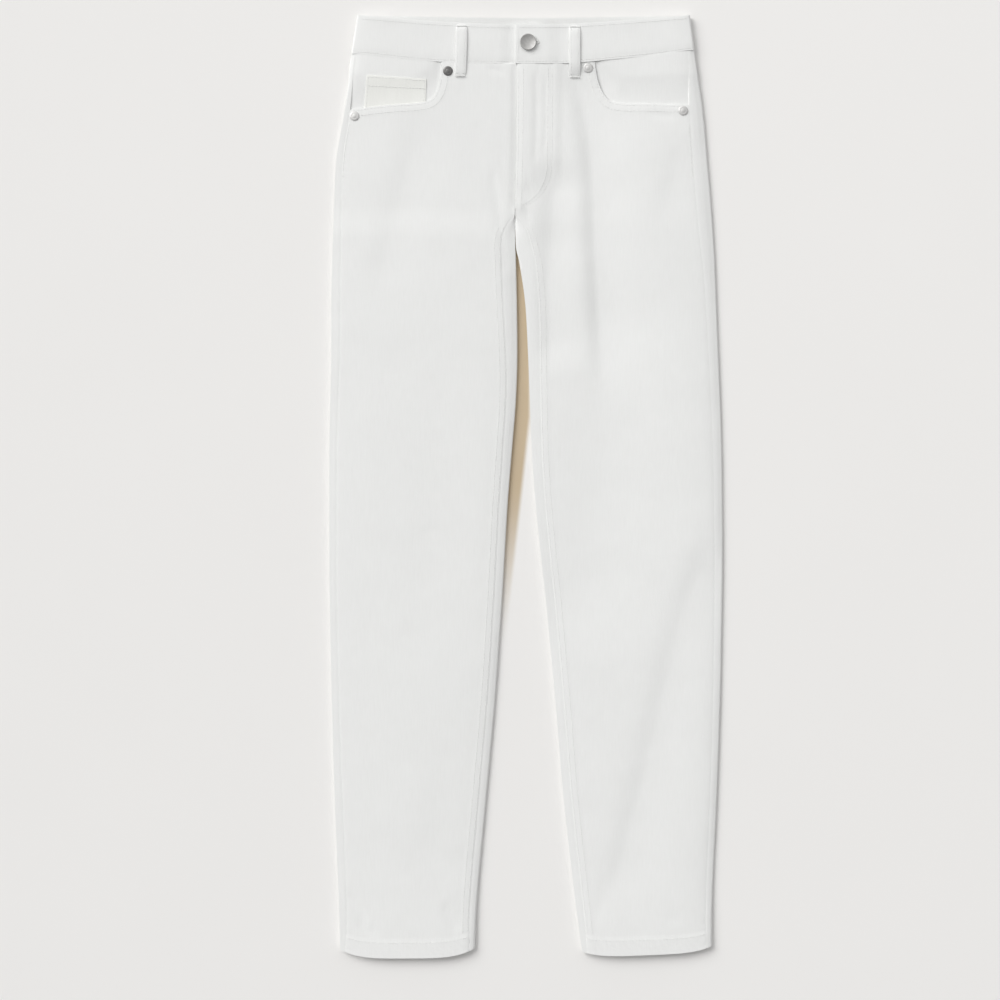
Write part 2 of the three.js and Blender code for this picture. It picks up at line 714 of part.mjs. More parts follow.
function frontLoop({ x, lean }) {
  const start = WAIST.frontTop(x) + LOOP_START;
  const seam = WAIST.frontSeam(x);
  const at = (r, c, layer) => {
    const [along, lift] = LOOP_PROFILE[r];
    const down = start + along;
    const across = x + (c - 1) * (LOOP_WIDTH / 2) + lean * (along / LOOP_LENGTH) ** 2;
    const side = x < 0 ? -1 : 1;
    const onPanel = ramp(seam + LOOP_ON_PANEL.start, seam + LOOP_ON_PANEL.full, down);
    const panel = frontZ(side, across, Math.max(down, LOOP_ON_PANEL.level));
    const base = lerp(bandZ(side, across), panel, onPanel);
    return place(across, down, base + LOOP_SEAT + lift + (1 - layer) * LOOP_CLOTH);
  };
  return wall(LOOP_PROFILE.length, 3, at);
}

// Back belt loops lie flat between the band and the surface.
function backLoop({ x }) {
  const rows = 4;
  const start = WAIST.backTop(x) + LOOP_START;
  const end = WAIST.backSeam(x) + BACK_LOOP_BELOW_BAND;
  const at = (r, c, layer) => {
    const down = lerp(start, end, r / (rows - 1));
    return place(x + (c - 0.5) * LOOP_WIDTH, down, layer * BACK_LOOP_CLOTH);
  };
  return wall(rows, 2, at);
}

// The closed zip behind the fly: its tape with the row of teeth as a low ridge.
const ZIP = { from: -9, to: 20, start: 51, end: 170, cloth: 1, below: 2.35 };

function flyZip() {
  const rows = 9;
  const columns = [0, 0.4, 0.46, 0.56, 0.62, 1];
  const ridge = [0, 0, 0.6, 0.6, 0, 0];
  const at = (r, c, layer) => {
    const down = lerp(ZIP.start, ZIP.end, r / (rows - 1));
    const centre = centreBack(down);
    const x = centre + lerp(ZIP.from, ZIP.to, columns[c]);
    const z = topZ(x < centre ? -1 : 1, x, down) - ZIP.below;
    return place(x, down, z - layer * (ZIP.cloth + ridge[c]));
  };
  return wall(rows, columns.length, at);
}

// Round metal pieces, turned about their own axis and set square to the cloth.
function turned(profile, segments) {
  const lathe = new THREE.LatheGeometry(
    profile.map(([r, z]) => new THREE.Vector2(r, z)),
    segments,
  );
  lathe.rotateX(Math.PI / 2);
  lathe.deleteAttribute("normal");
  lathe.deleteAttribute("uv");
  const merged = mergeVertices(lathe, 1e-3);
  const index = [...merged.index.array];
  const kept = [];
  for (let i = 0; i < index.length; i += 3) {
    const [a, b, c] = index.slice(i, i + 3);
    if (a !== b && b !== c && a !== c) kept.push(a, b, c);
  }
  return facingOut([...merged.attributes.position.array], kept);
}

function rivet(radius) {
  const shares = [
    [0, 0], [0.9, 0], [1, 0.28], [0.93, 0.75], [0.62, 1.05], [0.45, 0.9], [0.36, 1.25], [0, 1.4],
  ];
  const profile = shares.map(([share, z]) => [share * radius, z]);
  return turned(profile, 18);
}

function shankButton({ shank, radius }) {
  const profile = [[0, 0], [shank, 0], [shank, 1.3], [0.9 * radius, 1.4], [radius, 2.1], [radius, 2.9]];
  profile.push([0.93 * radius, 3.5], [0.82 * radius, 3.5], [0.7 * radius, 2.9], [0, 2.6]);
  return turned(profile, 28);
}

// Sets a piece's own +Z along the slope of the cloth below it, clear of the cloth all round.
function setOn(mesh, zAt, x, down, radius) {
  const reach = radius * 0.9;
  const slopeX = (zAt(x + reach, down) - zAt(x - reach, down)) / (2 * reach);
  const slopeY = (zAt(x, down - reach) - zAt(x, down + reach)) / (2 * reach);
  const normal = new THREE.Vector3(-slopeX, -slopeY, 1).normalize();
  const ring = [
    [0, 0], [1, 0], [-1, 0], [0, 1], [0, -1], [0.7, 0.7], [-0.7, 0.7], [0.7, -0.7], [-0.7, -0.7],
  ];
  const proud = ring.map(([a, b]) => {
    const z = zAt(x + a * reach, down - b * reach);
    return z - slopeX * a * reach - slopeY * b * reach;
  });
  mesh.quaternion.setFromUnitVectors(new THREE.Vector3(0, 0, 1), normal);
  mesh.position.copy(place(x, down, Math.max(...proud) + LAYER_GAP));
}

for (const one of SIDES) {
  addNode("front_" + one.name, frontPanel(one), DENIM);
  addNode("back_" + one.name, backPanel(one), DENIM);
  addNode("yoke_" + one.name, yoke(one), DENIM);
  addNode("pocket_facing_" + one.name, pocketFacing(one), DENIM);
  addNode("back_pocket_" + one.name, backPocket(one), DENIM);
}
addNode("coin_pocket", coinPocket(), DENIM);
addNode("waistband", waistband(), DENIM);
for (const loop of FRONT_LOOPS) addNode(loop.name, frontLoop(loop), DENIM);
for (const loop of BACK_LOOPS) addNode(loop.name, backLoop(loop), DENIM);
addNode("fly_zip", flyZip(), ZIP_TAPE);
for (const { name, x, down, radius } of RIVETS) {
  const side = x < 0 ? -1 : 1;
  const mesh = addNode(name, rivet(radius), METAL);
  setOn(mesh, (a, b) => frontZ(side, a, b), x, down, radius);
}
const button = addNode("button", shankButton(BUTTON), METAL);
setOn(button, (a) => bandZ(1, a), BUTTON.x, BUTTON.down, BUTTON.shank);

export default garment;
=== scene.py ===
"""White denim mom jeans laid flat: cloth shells, sewing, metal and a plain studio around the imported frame.

Sizes are in millimetres until add_mesh. Places are given as x, towards the wearer's left, and down, the
distance from the waist's highest point towards the hems. side is -1 for the wearer's right and 1 for the
left.
"""
import math
from types import SimpleNamespace

import bpy
import numpy as np
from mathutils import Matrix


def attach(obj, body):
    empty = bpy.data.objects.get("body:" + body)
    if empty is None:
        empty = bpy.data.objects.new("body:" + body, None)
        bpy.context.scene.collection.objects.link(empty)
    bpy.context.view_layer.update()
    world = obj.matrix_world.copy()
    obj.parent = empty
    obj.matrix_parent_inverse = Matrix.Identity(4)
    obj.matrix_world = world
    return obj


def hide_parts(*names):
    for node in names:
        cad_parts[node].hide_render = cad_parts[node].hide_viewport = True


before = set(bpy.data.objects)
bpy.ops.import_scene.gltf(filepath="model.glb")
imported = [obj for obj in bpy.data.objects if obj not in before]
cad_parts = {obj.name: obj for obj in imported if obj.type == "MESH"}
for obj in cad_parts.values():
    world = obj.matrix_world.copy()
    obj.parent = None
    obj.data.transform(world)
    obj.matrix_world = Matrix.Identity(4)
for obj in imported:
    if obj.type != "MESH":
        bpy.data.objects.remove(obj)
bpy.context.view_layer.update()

MM = 0.001
HALF_LENGTH = 471.25
SIDES = {"right": -1, "left": 1}
NAMES = {-1: "right", 1: "left"}
SEED = 7

# The camera looks straight down and takes in one metre of the floor.
LENS = 85
SENSOR = 36
VIEW_CENTRE = (-0.026, -0.01325)
VIEW_WIDTH = 1.0
VIEW_PLANE = 0.005

# Cloth
CLOTH = 1.2
HEM_CLOTH = 2.2
BAND_CLOTH = 1.8
LOOP_CLOTH = 1.0
BACK_LOOP_CLOTH = 1.3
COIN_CLOTH = 0.5
RIM = 0.12
SEAM_GAP = 0.03
SEAM_ROUND = 1.1
SEAM_DIP = 0.12
LAYER_GAP = 0.1
ALLOWANCE_DROP = 1.9

# Places down the garment
PANEL_START = 48.4
CROTCH = 198
HEM_BASE = 933.6
HEM_DEPTH = 16
HEM_START = HEM_BASE - HEM_DEPTH
HEM_FADE = 70
WAIST_FADE = 60

# How the top layer swells from its folded edges. The edges that face the light stand nearly full height,
# but the layer is lower there and leans back under itself.
SHOULDER = 7
HOLD = 4
PLUMP = 1.4
PLUMP_REACH = 24
PLUMP_FROM = (60, 140)
LIT_SHARE = 0.87
LIT_LOW = 1.7
LIT_REACH = 55
LIT_UNDERCUT = 3
LIT_FROM = {"outer": (45, 100), "inner": (203, 232)}

# The grid that noise is drawn on, and where its pattern starts
NOISE_CELLS = 64
NOISE_START = (31.7, 11.3)

# Broad waves and fine unevenness of the cloth: height and size
WAVES = [(0.22, 62), (0.1, 27), (0.035, 9)]
BAND_WAVES = [(0.22, 30), (0.08, 9)]

# Small tucks that sewing draws in, whose pitch and strength noise varies along a seam
TUCK_PITCH = 1.15
TUCK_DRIFT = {"by": 2.2, "size": 23}
TUCK_STRENGTH = {"mean": 0.55, "by": 0.45, "size": 41}

# The tucks beside each seam: number of their noise, height and reach
PUCKERS = {
    "outseam": (20, 0.1, 5),
    "inseam": (30, 0.1, 6),
    "opening": (40, 0.1, 4),
    "waist": (50, 0.12, 5),
    "hem": (60, 0.24, 9),
    "back": (70, 0.08, 6),
    "band_top": (82, 0.1, 4),
    "band_seam": (84, 0.1, 4),
}


def lerp(a, b, t):
    return a + (b - a) * t


def ramp(low, high, x):
    """0 before low and 1 past high, with a smooth step between them."""
    t = np.clip((np.asarray(x, float) - low) / (high - low), 0, 1)
    return t * t * (3 - 2 * t)


def bell(x, width):
    """1 where x is 0, falling away on both sides."""
    return np.exp(-((x / width) ** 2))


def unit(v):
    return v / np.maximum(np.linalg.norm(v, axis=-1, keepdims=True), 1e-12)


def places(x, down, z):
    """Points from values that may be numbers, rows or columns."""
    return np.stack(np.broadcast_arrays(x, down, z), -1)


def smooth_curve(xs, ys):
    """A smooth curve through points that never swings past them, held level past both ends."""
    xs = np.array(xs, float)
    ys = np.array(ys, float)
    step = np.diff(ys) / np.diff(xs)
    middle = (ys[2:] - ys[:-2]) / (xs[2:] - xs[:-2])
    limit = 3 * np.minimum(abs(step[:-1]), abs(step[1:]))
    inner = np.where(step[:-1] * step[1:] > 0, np.sign(middle) * np.minimum(abs(middle), limit), 0)
    slope = np.concatenate([step[:1], inner, step[-1:]])

    def curve(x):
        x = np.clip(x, xs[0], xs[-1])
        i = np.clip(np.searchsorted(xs, x) - 1, 0, len(xs) - 2)
        h = xs[i + 1] - xs[i]
        t = (x - xs[i]) / h
        rest = 1 - t
        ends = ys[i] * (1 + 2 * t) * rest**2 + ys[i + 1] * (3 - 2 * t) * t**2
        return ends + h * t * rest * (slope[i] * rest - slope[i + 1] * t)

    return curve


def table(columns, rows):
    """One smooth curve for each named column after the first."""
    data = np.array(rows, float).T
    curves = {name: smooth_curve(data[0], data[k + 1]) for k, name in enumerate(columns[1:])}
    return SimpleNamespace(**curves)


def named_rows(columns, rows):
    return [SimpleNamespace(**dict(zip(columns, row))) for row in rows]


# The outline seen from above: x of each folded edge, with the centre seam's x above the crotch
OUTLINE = table(
    ["down", "right_outer", "right_inner", "left_inner", "left_outer"],
    [
        [0, -169, -9.2, -8.8, 164],
        [46, -176, -9.2, -8.8, 170],
        [94, -181.5, -9.7, -9.3, 177],
        [144, -190, -10.2, -9.8, 181.5],
        [198, -192.5, -11, -11, 186],
        [220, -193.3, -10.9, -10.9, 187.5],
        [234, -193.7, -10.6, -10.2, 188.3],
        [245, -194, -10, -7.6, 189],
        [285, -195, -9, -1.5, 190.5],
        [335, -195, -8.5, 1.5, 192.5],
        [385, -196, -10, 3.5, 194.5],
        [435, -197, -14, 5.5, 196],
        [485, -197, -18, 9, 196.6],
        [535, -197, -21, 14, 197],
        [585, -196.5, -24, 19.5, 196.5],
        [685, -194.5, -31, 29, 194.5],
        [785, -191.5, -40, 37.5, 191],
        [885, -187.5, -49, 49, 186.5],
        [942, -186, -51.5, 57, 186],
    ],
)

# How far each seam lies in from its folded edge, on top
SEAM = table(
    ["down", "right_outer", "right_inner", "left_inner", "left_outer"],
    [
        [0, 5, 0, 0, 6],
        [46, 5, 0, 0, 8],
        [100, 5.5, 0, 0, 14],
        [198, 7.5, 0.5, 0.5, 15],
        [207, 7.8, 7, 7, 14.8],
        [220, 8, 13, 13.5, 14.3],
        [240, 8.5, 14.5, 16.5, 13],
        [285, 9, 14, 14, 11],
        [385, 8, 10, 11, 9.5],
        [585, 7, 8, 9, 8],
        [885, 8, 7, 7.5, 6.5],
        [942, 5.5, 6, 6, 6],
    ],
)

# Heights of the underside, of a folded edge's top, and of the top layer between the edges
HEIGHT = table(
    ["down", "floor", "edge", "middle"],
    [
        [0, 1.7, 5.6, 7.55],
        [56, 1.7, 5.6, 7.5],
        [66, 0.3, 5.1, 7.35],
        [78, 0.3, 4.8, 7.1],
        [112, 0.3, 4.2, 6.6],
        [160, 0.3, 3.8, 6.3],
        [250, 0.3, 3.6, 6],
        [400, 0.3, 3.5, 5.7],
        [850, 0.3, 3.6, 5.5],
        [915, 0.3, 5.1, 6.2],
        [942, 0.3, 5.6, 6.5],
    ],
)

# The waist: the upper edge and the lower seam of the band, front and back
WAIST = table(
    ["x", "front_top", "front_seam", "back_top", "back_seam"],
    [
        [-169, 0, 38.5, 0, 38.5],
        [-126, 3.6, 43.2, 0.7, 41],
        [-96, 5.8, 46, 1.3, 42.5],
        [-40, 8.6, 48.2, 2.1, 44],
        [0, 9.2, 48.4, 2.3, 44.3],
        [44, 8.6, 47.8, 2.1, 43.6],
        [84, 6.2, 44.4, 1.5, 41.6],
        [124, 3.4, 40.4, 0.8, 38.5],
        [164, 0, 34.8, 0, 34.8],
    ],
)

YOKE = table(["from_centre", "down"], [[0, 116], [90, 94], [180, 76]])

# Where and how fast the back leg's inner fold grows out of the centre back seam
GROWTH = table(["down", "turn"], [[CROTCH - 12, 0], [CROTCH - 5, 0.8], [CROTCH - 1, 2]])

# How far each hem bows down between its corners, and its corners' own places
HEMS = {
    "right": {"sag": 9.4, "outer": 0, "inner": -1},
    "left": {"sag": 6, "outer": -3, "inner": 2.4},
}

# Soft troughs whose bottoms follow routes of x and down. The cloth falls into each over width on the wearer's
# right of it, climbs out again over climb, and the trough fades in and out over fade at its ends.
FOLD_COLUMNS = ["depth", "width", "climb", "fade", "route"]
FOLDS = named_rows(FOLD_COLUMNS, [
    [3.3, 11, 34, 110, [[34, 12], [56, 80], [64, 120], [68, 165], [70, 225], [75, 310], [80, 400]]],
    [2.2, 13, 26, 36, [[31, 140], [30, 175], [27, 225], [24, 275], [27, 360]]],
    [1.1, 24, 26, 45, [[28, 40], [31, 95], [30, 150], [30, 200]]],
    [2.4, 50, 60, 90, [[79, 235], [81, 385], [74, 505], [66, 650]]],
    [1.5, 15, 38, 75,
     [[192, 500], [178, 550], [162, 590], [147, 650], [129, 725], [113, 790], [99, 845], [82, 912]]],
    [0.9, 15, 34, 42, [[-106, 92], [-112, 145], [-119, 168], [-134, 225], [-148, 285]]],
    [0.7, 13, 24, 36, [[160, 112], [149, 165], [138, 215]]],
    [0.7, 30, 60, 110, [[-96, 330], [-84, 480], [-98, 660]]],
    [0.6, 22, 40, 60, [[-66, 690], [-84, 790], [-92, 890]]],
])
WRINKLES = named_rows(FOLD_COLUMNS, [
    [0.45, 2.6, 4, 8, [[-40, 52], [-29, 56], [-20, 60]]],
    [0.4, 3.2, 3, 12, [[9, 54], [10, 100], [8, 152]]],
    [0.3, 2.4, 2.4, 12, [[19, 60], [20, 104], [18, 140]]],
    [0.45, 5, 4, 14, [[-34, 150], [-28, 192], [-23, 228], [-20, 262]]],
    [0.45, 3, 3, 12, [[-5, 168], [-1, 188], [4, 214]]],
    [0.3, 5, 6, 9, [[-105, 512], [-94, 516], [-84, 519]]],
    [0.25, 7, 12, 22, [[-128, 602], [-112, 632], [-104, 668]]],
    [0.5, 5, 7, 12, [[-182, 872], [-168, 893], [-158, 908]]],
    [0.4, 4, 5, 10, [[-172, 902], [-158, 909], [-146, 912]]],
    [0.5, 6, 6, 11, [[-84, 882], [-75, 900], [-66, 914]]],
    [0.35, 5, 6, 12, [[134, 896], [148, 902], [160, 901]]],
    [0.3, 7, 9, 16, [[82, 858], [75, 884], [72, 908]]],
    [0.35, 4, 4, 9, [[118, 97], [136, 100], [150, 101]]],
])

# Fly. Its raised cloth fades out between two distances from the centre front, and in a narrower band at its
# lower end.
FLY_LAP = 6
FLY_RAISE = 0.8
FLY_STEP = 0.8
FLY_WIDTH = 38
FLY_END = 178
FLY_FADE = (FLY_WIDTH - 1, FLY_WIDTH + 9)
FLY_FADE_DOWN = (FLY_END - 40, FLY_END + 8)
FLY_NARROW = (6, 16)
UNDERLAP_STEP = (-7, -1)
FLY_BEND = {"from": 150, "height": 42}
FLY_SEWN_FROM = 53

# Small relief of the fronts: raised allowances and hems, and dips where they are sewn
INSEAM_ALLOWANCE = (6.5, 9.5)
OPENING_ALLOWANCE = (7, 10)
ZIP_ALLOWANCE = (15, 21)
INSEAM_RAISE = 0.16
OPENING_RAISE = 0.12
HEM_RAISE = 0.25
ZIP_RAISE = 0.35
WAIST_DIP = 0.1
FLY_LINE_DIP = 0.18
PRESSED_OPENING = {"by": 0.35, "reach": 2.6}
PRESSED_FLY = {"by": 0.45, "reach": 4}

# Front pocket openings, from the waist seam to the side
OPENINGS = {
    "right": [[-84, 30], [-84.5, 50], [-86, 64], [-89, 75.5], [-95, 84], [-107, 87.5], [-130, 89],
              [-155, 91.5], [-190, 96]],
    "left": [[68, 30], [69, 50], [71.5, 64], [76, 76], [83, 84.5], [95, 88], [119, 88.6], [139, 89.2],
             [190, 90.5]],
}
OPENING_END = (99, 103)
FACING_DEPTH = {"edge": 1.25, "right": 1.35, "left": 1.25}
FACING_SIDE = (4, 18)
FACING_SHALLOW = {"share": 0.45, "until": 26}
OPENING_DEEPER = {"by": 0.9, "full": 74, "gone": 96, "from_waist": 12}
FACING_RISE = (2, 38)
FACING_RISE_AT_WAIST = 14
FACING_INNER = {"right": -72, "left": 56}
FACING_END = 102

# The coin pocket, as shares of the facing's width and height, and what a share is in millimetres
COIN_SHARES = (0.135, 0.725)
COIN_ROWS = (0.32, 0.9)
COIN_ACROSS = 100
COIN_DOWN = 56

# Waistband
BAND_TOP = 7.95
BAND_EDGE = 7
BAND_HEIGHT = 39
OVERLAP_END = -9.8
UNDERLAP_END = 16
OVERLAP_RAISE = 1.1
OVERLAP_FADE = (20, 36)
UNDERLAP_DIP = 1
UNDERLAP_FADE = (-26, -13)
BACK_CURL = 2
BAND_SEAM_DROP = 0.42

# Belt loops: x of each, and how far a front loop leans sideways at its lower end
LOOP_WIDTH = 11
LOOP_LENGTH = 55
LOOP_SEAT = 0.35
LOOP_END_DROP = 1.3
LOOP_CHANNEL = 3.4
LOOP_RELIEF = {"plump": 0.12, "channel": 0.22, "side": 0.5}
LOOP_TACK = 2.6
LOOP_LIFT = smooth_curve([0, 5, 12, 22, 30, 37, 42, 55], [0, 0.4, 0.7, 0.8, 0.6, 0.25, 0, 0])
FRONT_LOOPS = {"belt_loop_front_right": (-64.5, -1.5), "belt_loop_front_left": (48.5, 0)}
BACK_LOOPS = {"belt_loop_back_right": -140, "belt_loop_back_centre": -8, "belt_loop_back_left": 124}

# Backs. A fold starts this many half heights in where it is soft, where it faces the light, and where the
# inner seam under the crotch presses it flat. A back pocket's sides are shares of the panel's width, and the
# recess over it fades out from its edges between two distances.
BACK_START = 124
BACK_EVEN = CROTCH - 10
STRIP = 18
FOLD_ROUND = {"soft": 1.5, "lit": 0.15, "pressed": 0.4}
PRESSED_UNTIL = (268, 235)
BACK_POCKET = {"from": 0.19, "to": 0.895, "top": 144, "shoulder": 252, "tip": 272, "recess": 1.5}
RECESS_FADE = {"side": (0.04, 0.012), "top": (5, 1.5), "end": (6, 2)}
POCKET_WIDTH = 130
POCKET_HEIGHT = 125

RIVETS = {
    "rivet_right_inner": (-78, 56),
    "rivet_left_inner": (62, 52.8),
    "rivet_right_outer": (-171.5, 100.5),
    "rivet_left_outer": (157, 95.5),
}
# This rivet's nickel is painted darker: its colour stands in for the dark reflection it shows.
RIVET_WITH_PAINTED_REFLECTION = "rivet_right_inner"
RIVET_RADIUS = 4.9

# A rivet's section from its underside to its centre: share of the radius, and height
RIVET_SECTION = [
    (0, -0.2), (0.8, -0.2), (1, 0.2), (0.92, 0.6), (0.66, 0.85),
    (0.5, 0.8), (0.38, 0.95), (0.2, 1.08), (0, 1.1),
]
BUTTON = {"x": 2, "down": 27.5, "shank": 4.5, "radius": 8.2, "top": 2.75, "rim": 0.92, "bowl": 1.05}
BUTTONHOLE_START = -1.5
BUTTONHOLE_END = 11.5
BUTTONHOLE_PITCH = 0.62
BUTTONHOLE_REACH = 2.1
ZIP = {"from": -9, "to": 20, "start": 51, "end": 170, "below": 2.35, "tape": 0.7}
ZIP_TEETH = {"share": 0.51, "pitch": 1.25, "lower": 1.2, "apart": 0.7, "half_size": (1.7, 0.42, 0.3)}

# Sewing. A pair of rows lies at two distances from its edge or seam.
STITCH_PITCH = 3.3
STITCH_LENGTH = 2.7
THREAD = 0.2
UNDER_STITCH = 0.31
TRACE_STEP = 3.0
INSEAM_ROWS = (1.4, 6.4)
OPENING_ROWS = (1.6, 7.2)
FLY_ROWS = (1.6, 6.2)
DOUBLE_ROWS = (1.6, 6.6)
BAND_ROWS = (0.09, 0.945)
HEM_ROW = HEM_START + 1.5

# Weave, in metres
RIB_PITCH = 0.00085
RIB_SLANT = 0.62
YARN_PITCH = 0.0005

# Studio, in metres. The warm shade on the backdrop leans aside below a place.
KEY = {"from": (-1.6, 1.25, 1.38), "energy": 2.35, "degrees": 40, "colour": (1.0, 0.997, 0.99)}
FILL = {"from": (0.1, 1.1, 1.3), "toward": (0, 0.25, 0), "energy": 1.7, "size": 1.2}
SURROUNDINGS = {"level": 0.495, "behind": 0.26}
FLOOR_REACH = 3.0
FLOOR_Z = -0.0001
WARM_SHADE = {
    "x": -0.005, "leans_below": 0.07, "lean": 0.11, "across": (0.0115, 0.006), "lower": (-0.17, 0.01),
    "upper": (0.4, 0.3), "colour": (0.56, 0.45, 0.31, 1),
}


def edge_x(side, end, down):
    return getattr(OUTLINE, f"{NAMES[side]}_{end}")(down)


def seam_in(side, end, down):
    return getattr(SEAM, f"{NAMES[side]}_{end}")(down)


def nearest_on(route, x, down):
    """Distance to a route, how far along it the nearest place is, its length, and which side: 1 or -1."""
    x, down = np.broadcast_arrays(np.asarray(x, float), np.asarray(down, float))
    best = np.full(x.shape, np.inf)
    along = np.zeros(x.shape)
    hand = np.ones(x.shape)
    length = 0
    for (ax, ad), (bx, bd) in zip(route[:-1], route[1:]):
        dx, dd = bx - ax, bd - ad
        size = math.hypot(dx, dd)
        t = np.clip(((x - ax) * dx + (down - ad) * dd) / size**2, 0, 1)
        away = np.hypot(x - ax - dx * t, down - ad - dd * t)
        closer = away < best
        best = np.where(closer, away, best)
        along = np.where(closer, length + t * size, along)
        hand = np.where(closer, np.sign(dx * (down - ad) - dd * (x - ax)), hand)
        length += size
    return best, along, length, hand


def fold_depth(folds, x, down):
    """The summed depth of soft troughs, each with a steeper and a gentler side."""
    depth = 0
    for fold in folds:
        away, along, length, hand = nearest_on(fold.route, x, down)
        ends = ramp(0, fold.fade, along) * ramp(length, length - fold.fade, along)
        depth = depth + fold.depth * ends * bell(away, np.where(hand < 0, fold.climb, fold.width))
    return depth


def value_noise(x, down, size, seed):
    """Smooth seeded noise between about -1 and 1, with features of the given size."""
    grid = np.random.default_rng(SEED + seed).uniform(-1, 1, (NOISE_CELLS, NOISE_CELLS))
    u, v = np.broadcast_arrays(x / size + NOISE_START[0], down / size + NOISE_START[1])
    i, j = np.floor(u).astype(int), np.floor(v).astype(int)
    s, t = ramp(0, 1, u - i), ramp(0, 1, v - j)

    def at(a, b):
        return grid[(i + a) % NOISE_CELLS, (j + b) % NOISE_CELLS]

    return lerp(lerp(at(0, 0), at(1, 0), s), lerp(at(0, 1), at(1, 1), s), t)


def undulation(waves, x, down, seed=0):
    """The cloth is never quite flat: broad waves with a little fine unevenness."""
    return sum(height * value_noise(x, down, size, seed + k) for k, (height, size) in enumerate(waves))


def pucker(seam, side, along, away):
    """Small tucks that sewing draws into the cloth, along a seam and fading away from it."""
    seed, height, reach = PUCKERS[seam]
    drift = TUCK_DRIFT["by"] * value_noise(along, away * 0, TUCK_DRIFT["size"], seed + side)
    varied = TUCK_STRENGTH["by"] * value_noise(along, away * 0, TUCK_STRENGTH["size"], seed + side + 1)
    tucks = (TUCK_STRENGTH["mean"] + varied) * np.sin(along / TUCK_PITCH + drift)
    return height * tucks * bell(away, reach)


def legs_apart(down):
    return ramp(CROTCH - 8, CROTCH + 25, down)


def lit(side, end, down):
    """1 where a folded edge faces the light, which comes from -x."""
    if (side < 0) != (end == "outer"):
        return 0 * down
    return ramp(*LIT_FROM[end], down)


def lit_share(side, end, down):
    """How much of the full height a folded edge has where it faces the light."""
    return LIT_SHARE * lit(side, end, down)


def plump_at(side, down):
    return PLUMP * (ramp(*PLUMP_FROM, down) if side > 0 else legs_apart(down))


def fold_top(side, end, down):
    """Height of a folded edge's top."""
    edge = HEIGHT.edge(down)
    swell = HEIGHT.middle(down) - edge + plump_at(side, down) - LIT_LOW * lit(side, end, down)
    return edge + swell * lit_share(side, end, down)


def top_z(side, x, down):
    """Height of the top layer's outer face, with its folds but none of its sewing."""
    edge = HEIGHT.edge(down)
    radius = (edge - HEIGHT.floor(down)) / 2
    from_outer = np.maximum(0, side * (edge_x(side, "outer", down) - x) - radius)
    from_inner = np.maximum(0, side * (x - edge_x(side, "inner", down)) - radius)
    legs = legs_apart(down)
    low_outer = 1 - lit_share(side, "outer", down)
    low_inner = legs * (1 - lit_share(side, "inner", down))
    rise = (1 - low_outer * np.exp(-from_outer / SHOULDER)) * (1 - low_inner * np.exp(-from_inner / SHOULDER))
    hold = (1 - np.exp(-from_outer / HOLD)) * (1 - legs * np.exp(-from_inner / HOLD))
    from_shade = from_outer if side > 0 else from_inner
    plump = plump_at(side, down) * (1 - np.exp(-from_shade / PLUMP_REACH))
    plump = plump - LIT_LOW * lit(side, "outer", down) * np.exp(-from_outer / LIT_REACH)
    plump = plump - LIT_LOW * lit(side, "inner", down) * np.exp(-from_inner / LIT_REACH)
    soft = fold_depth(FOLDS, x, down) + fold_depth(WRINKLES, x, down) - undulation(WAVES, x, down)
    return edge + (HEIGHT.middle(down) - edge + plump) * rise - soft * hold


def cloth_at(down):
    return lerp(CLOTH, HEM_CLOTH, ramp(HEM_START - 1, HEM_START, down))


def hem_shift(side, x, down):
    """How much lower a place lies because its hem bows."""
    outer = edge_x(side, "outer", down)
    inner = edge_x(side, "inner", down)
    across = np.clip((x - outer) / (inner - outer), 0, 1)
    hem = HEMS[NAMES[side]]
    bow = hem["sag"] * (1 - (2 * across - 1) ** 4) + lerp(hem["outer"], hem["inner"], across)
    return bow * ramp(HEM_BASE - HEM_FADE, HEM_BASE, down)


def crossing(x_at, seam_at):
    """How far down a column crosses a curved seam."""
    down = seam_at(0)
    for _ in range(5):
        down = seam_at(x_at(down))
    return down


# Meshes
def to_world(points):
    points = np.asarray(points, float)
    return np.stack([points[..., 0], HALF_LENGTH - points[..., 1], points[..., 2]], -1) * MM


def add_object(name, data):
    thing = bpy.data.objects.new(name, data)
    bpy.context.scene.collection.objects.link(thing)
    return thing


def add_mesh(name, points, faces, material, sharp=50):
    mesh = bpy.data.meshes.new(name)
    mesh.from_pydata(points.tolist(), [], faces)
    mesh.shade_smooth()
    mesh.set_sharp_from_angle(angle=math.radians(sharp))
    mesh.materials.append(material)
    return add_object(name, mesh)


def grid_faces(rows, columns):
    ids = np.arange(rows * columns).reshape(rows, columns)
    return np.stack([ids[:-1, :-1], ids[:-1, 1:], ids[1:, 1:], ids[1:, :-1]], -1).reshape(-1, 4).tolist()


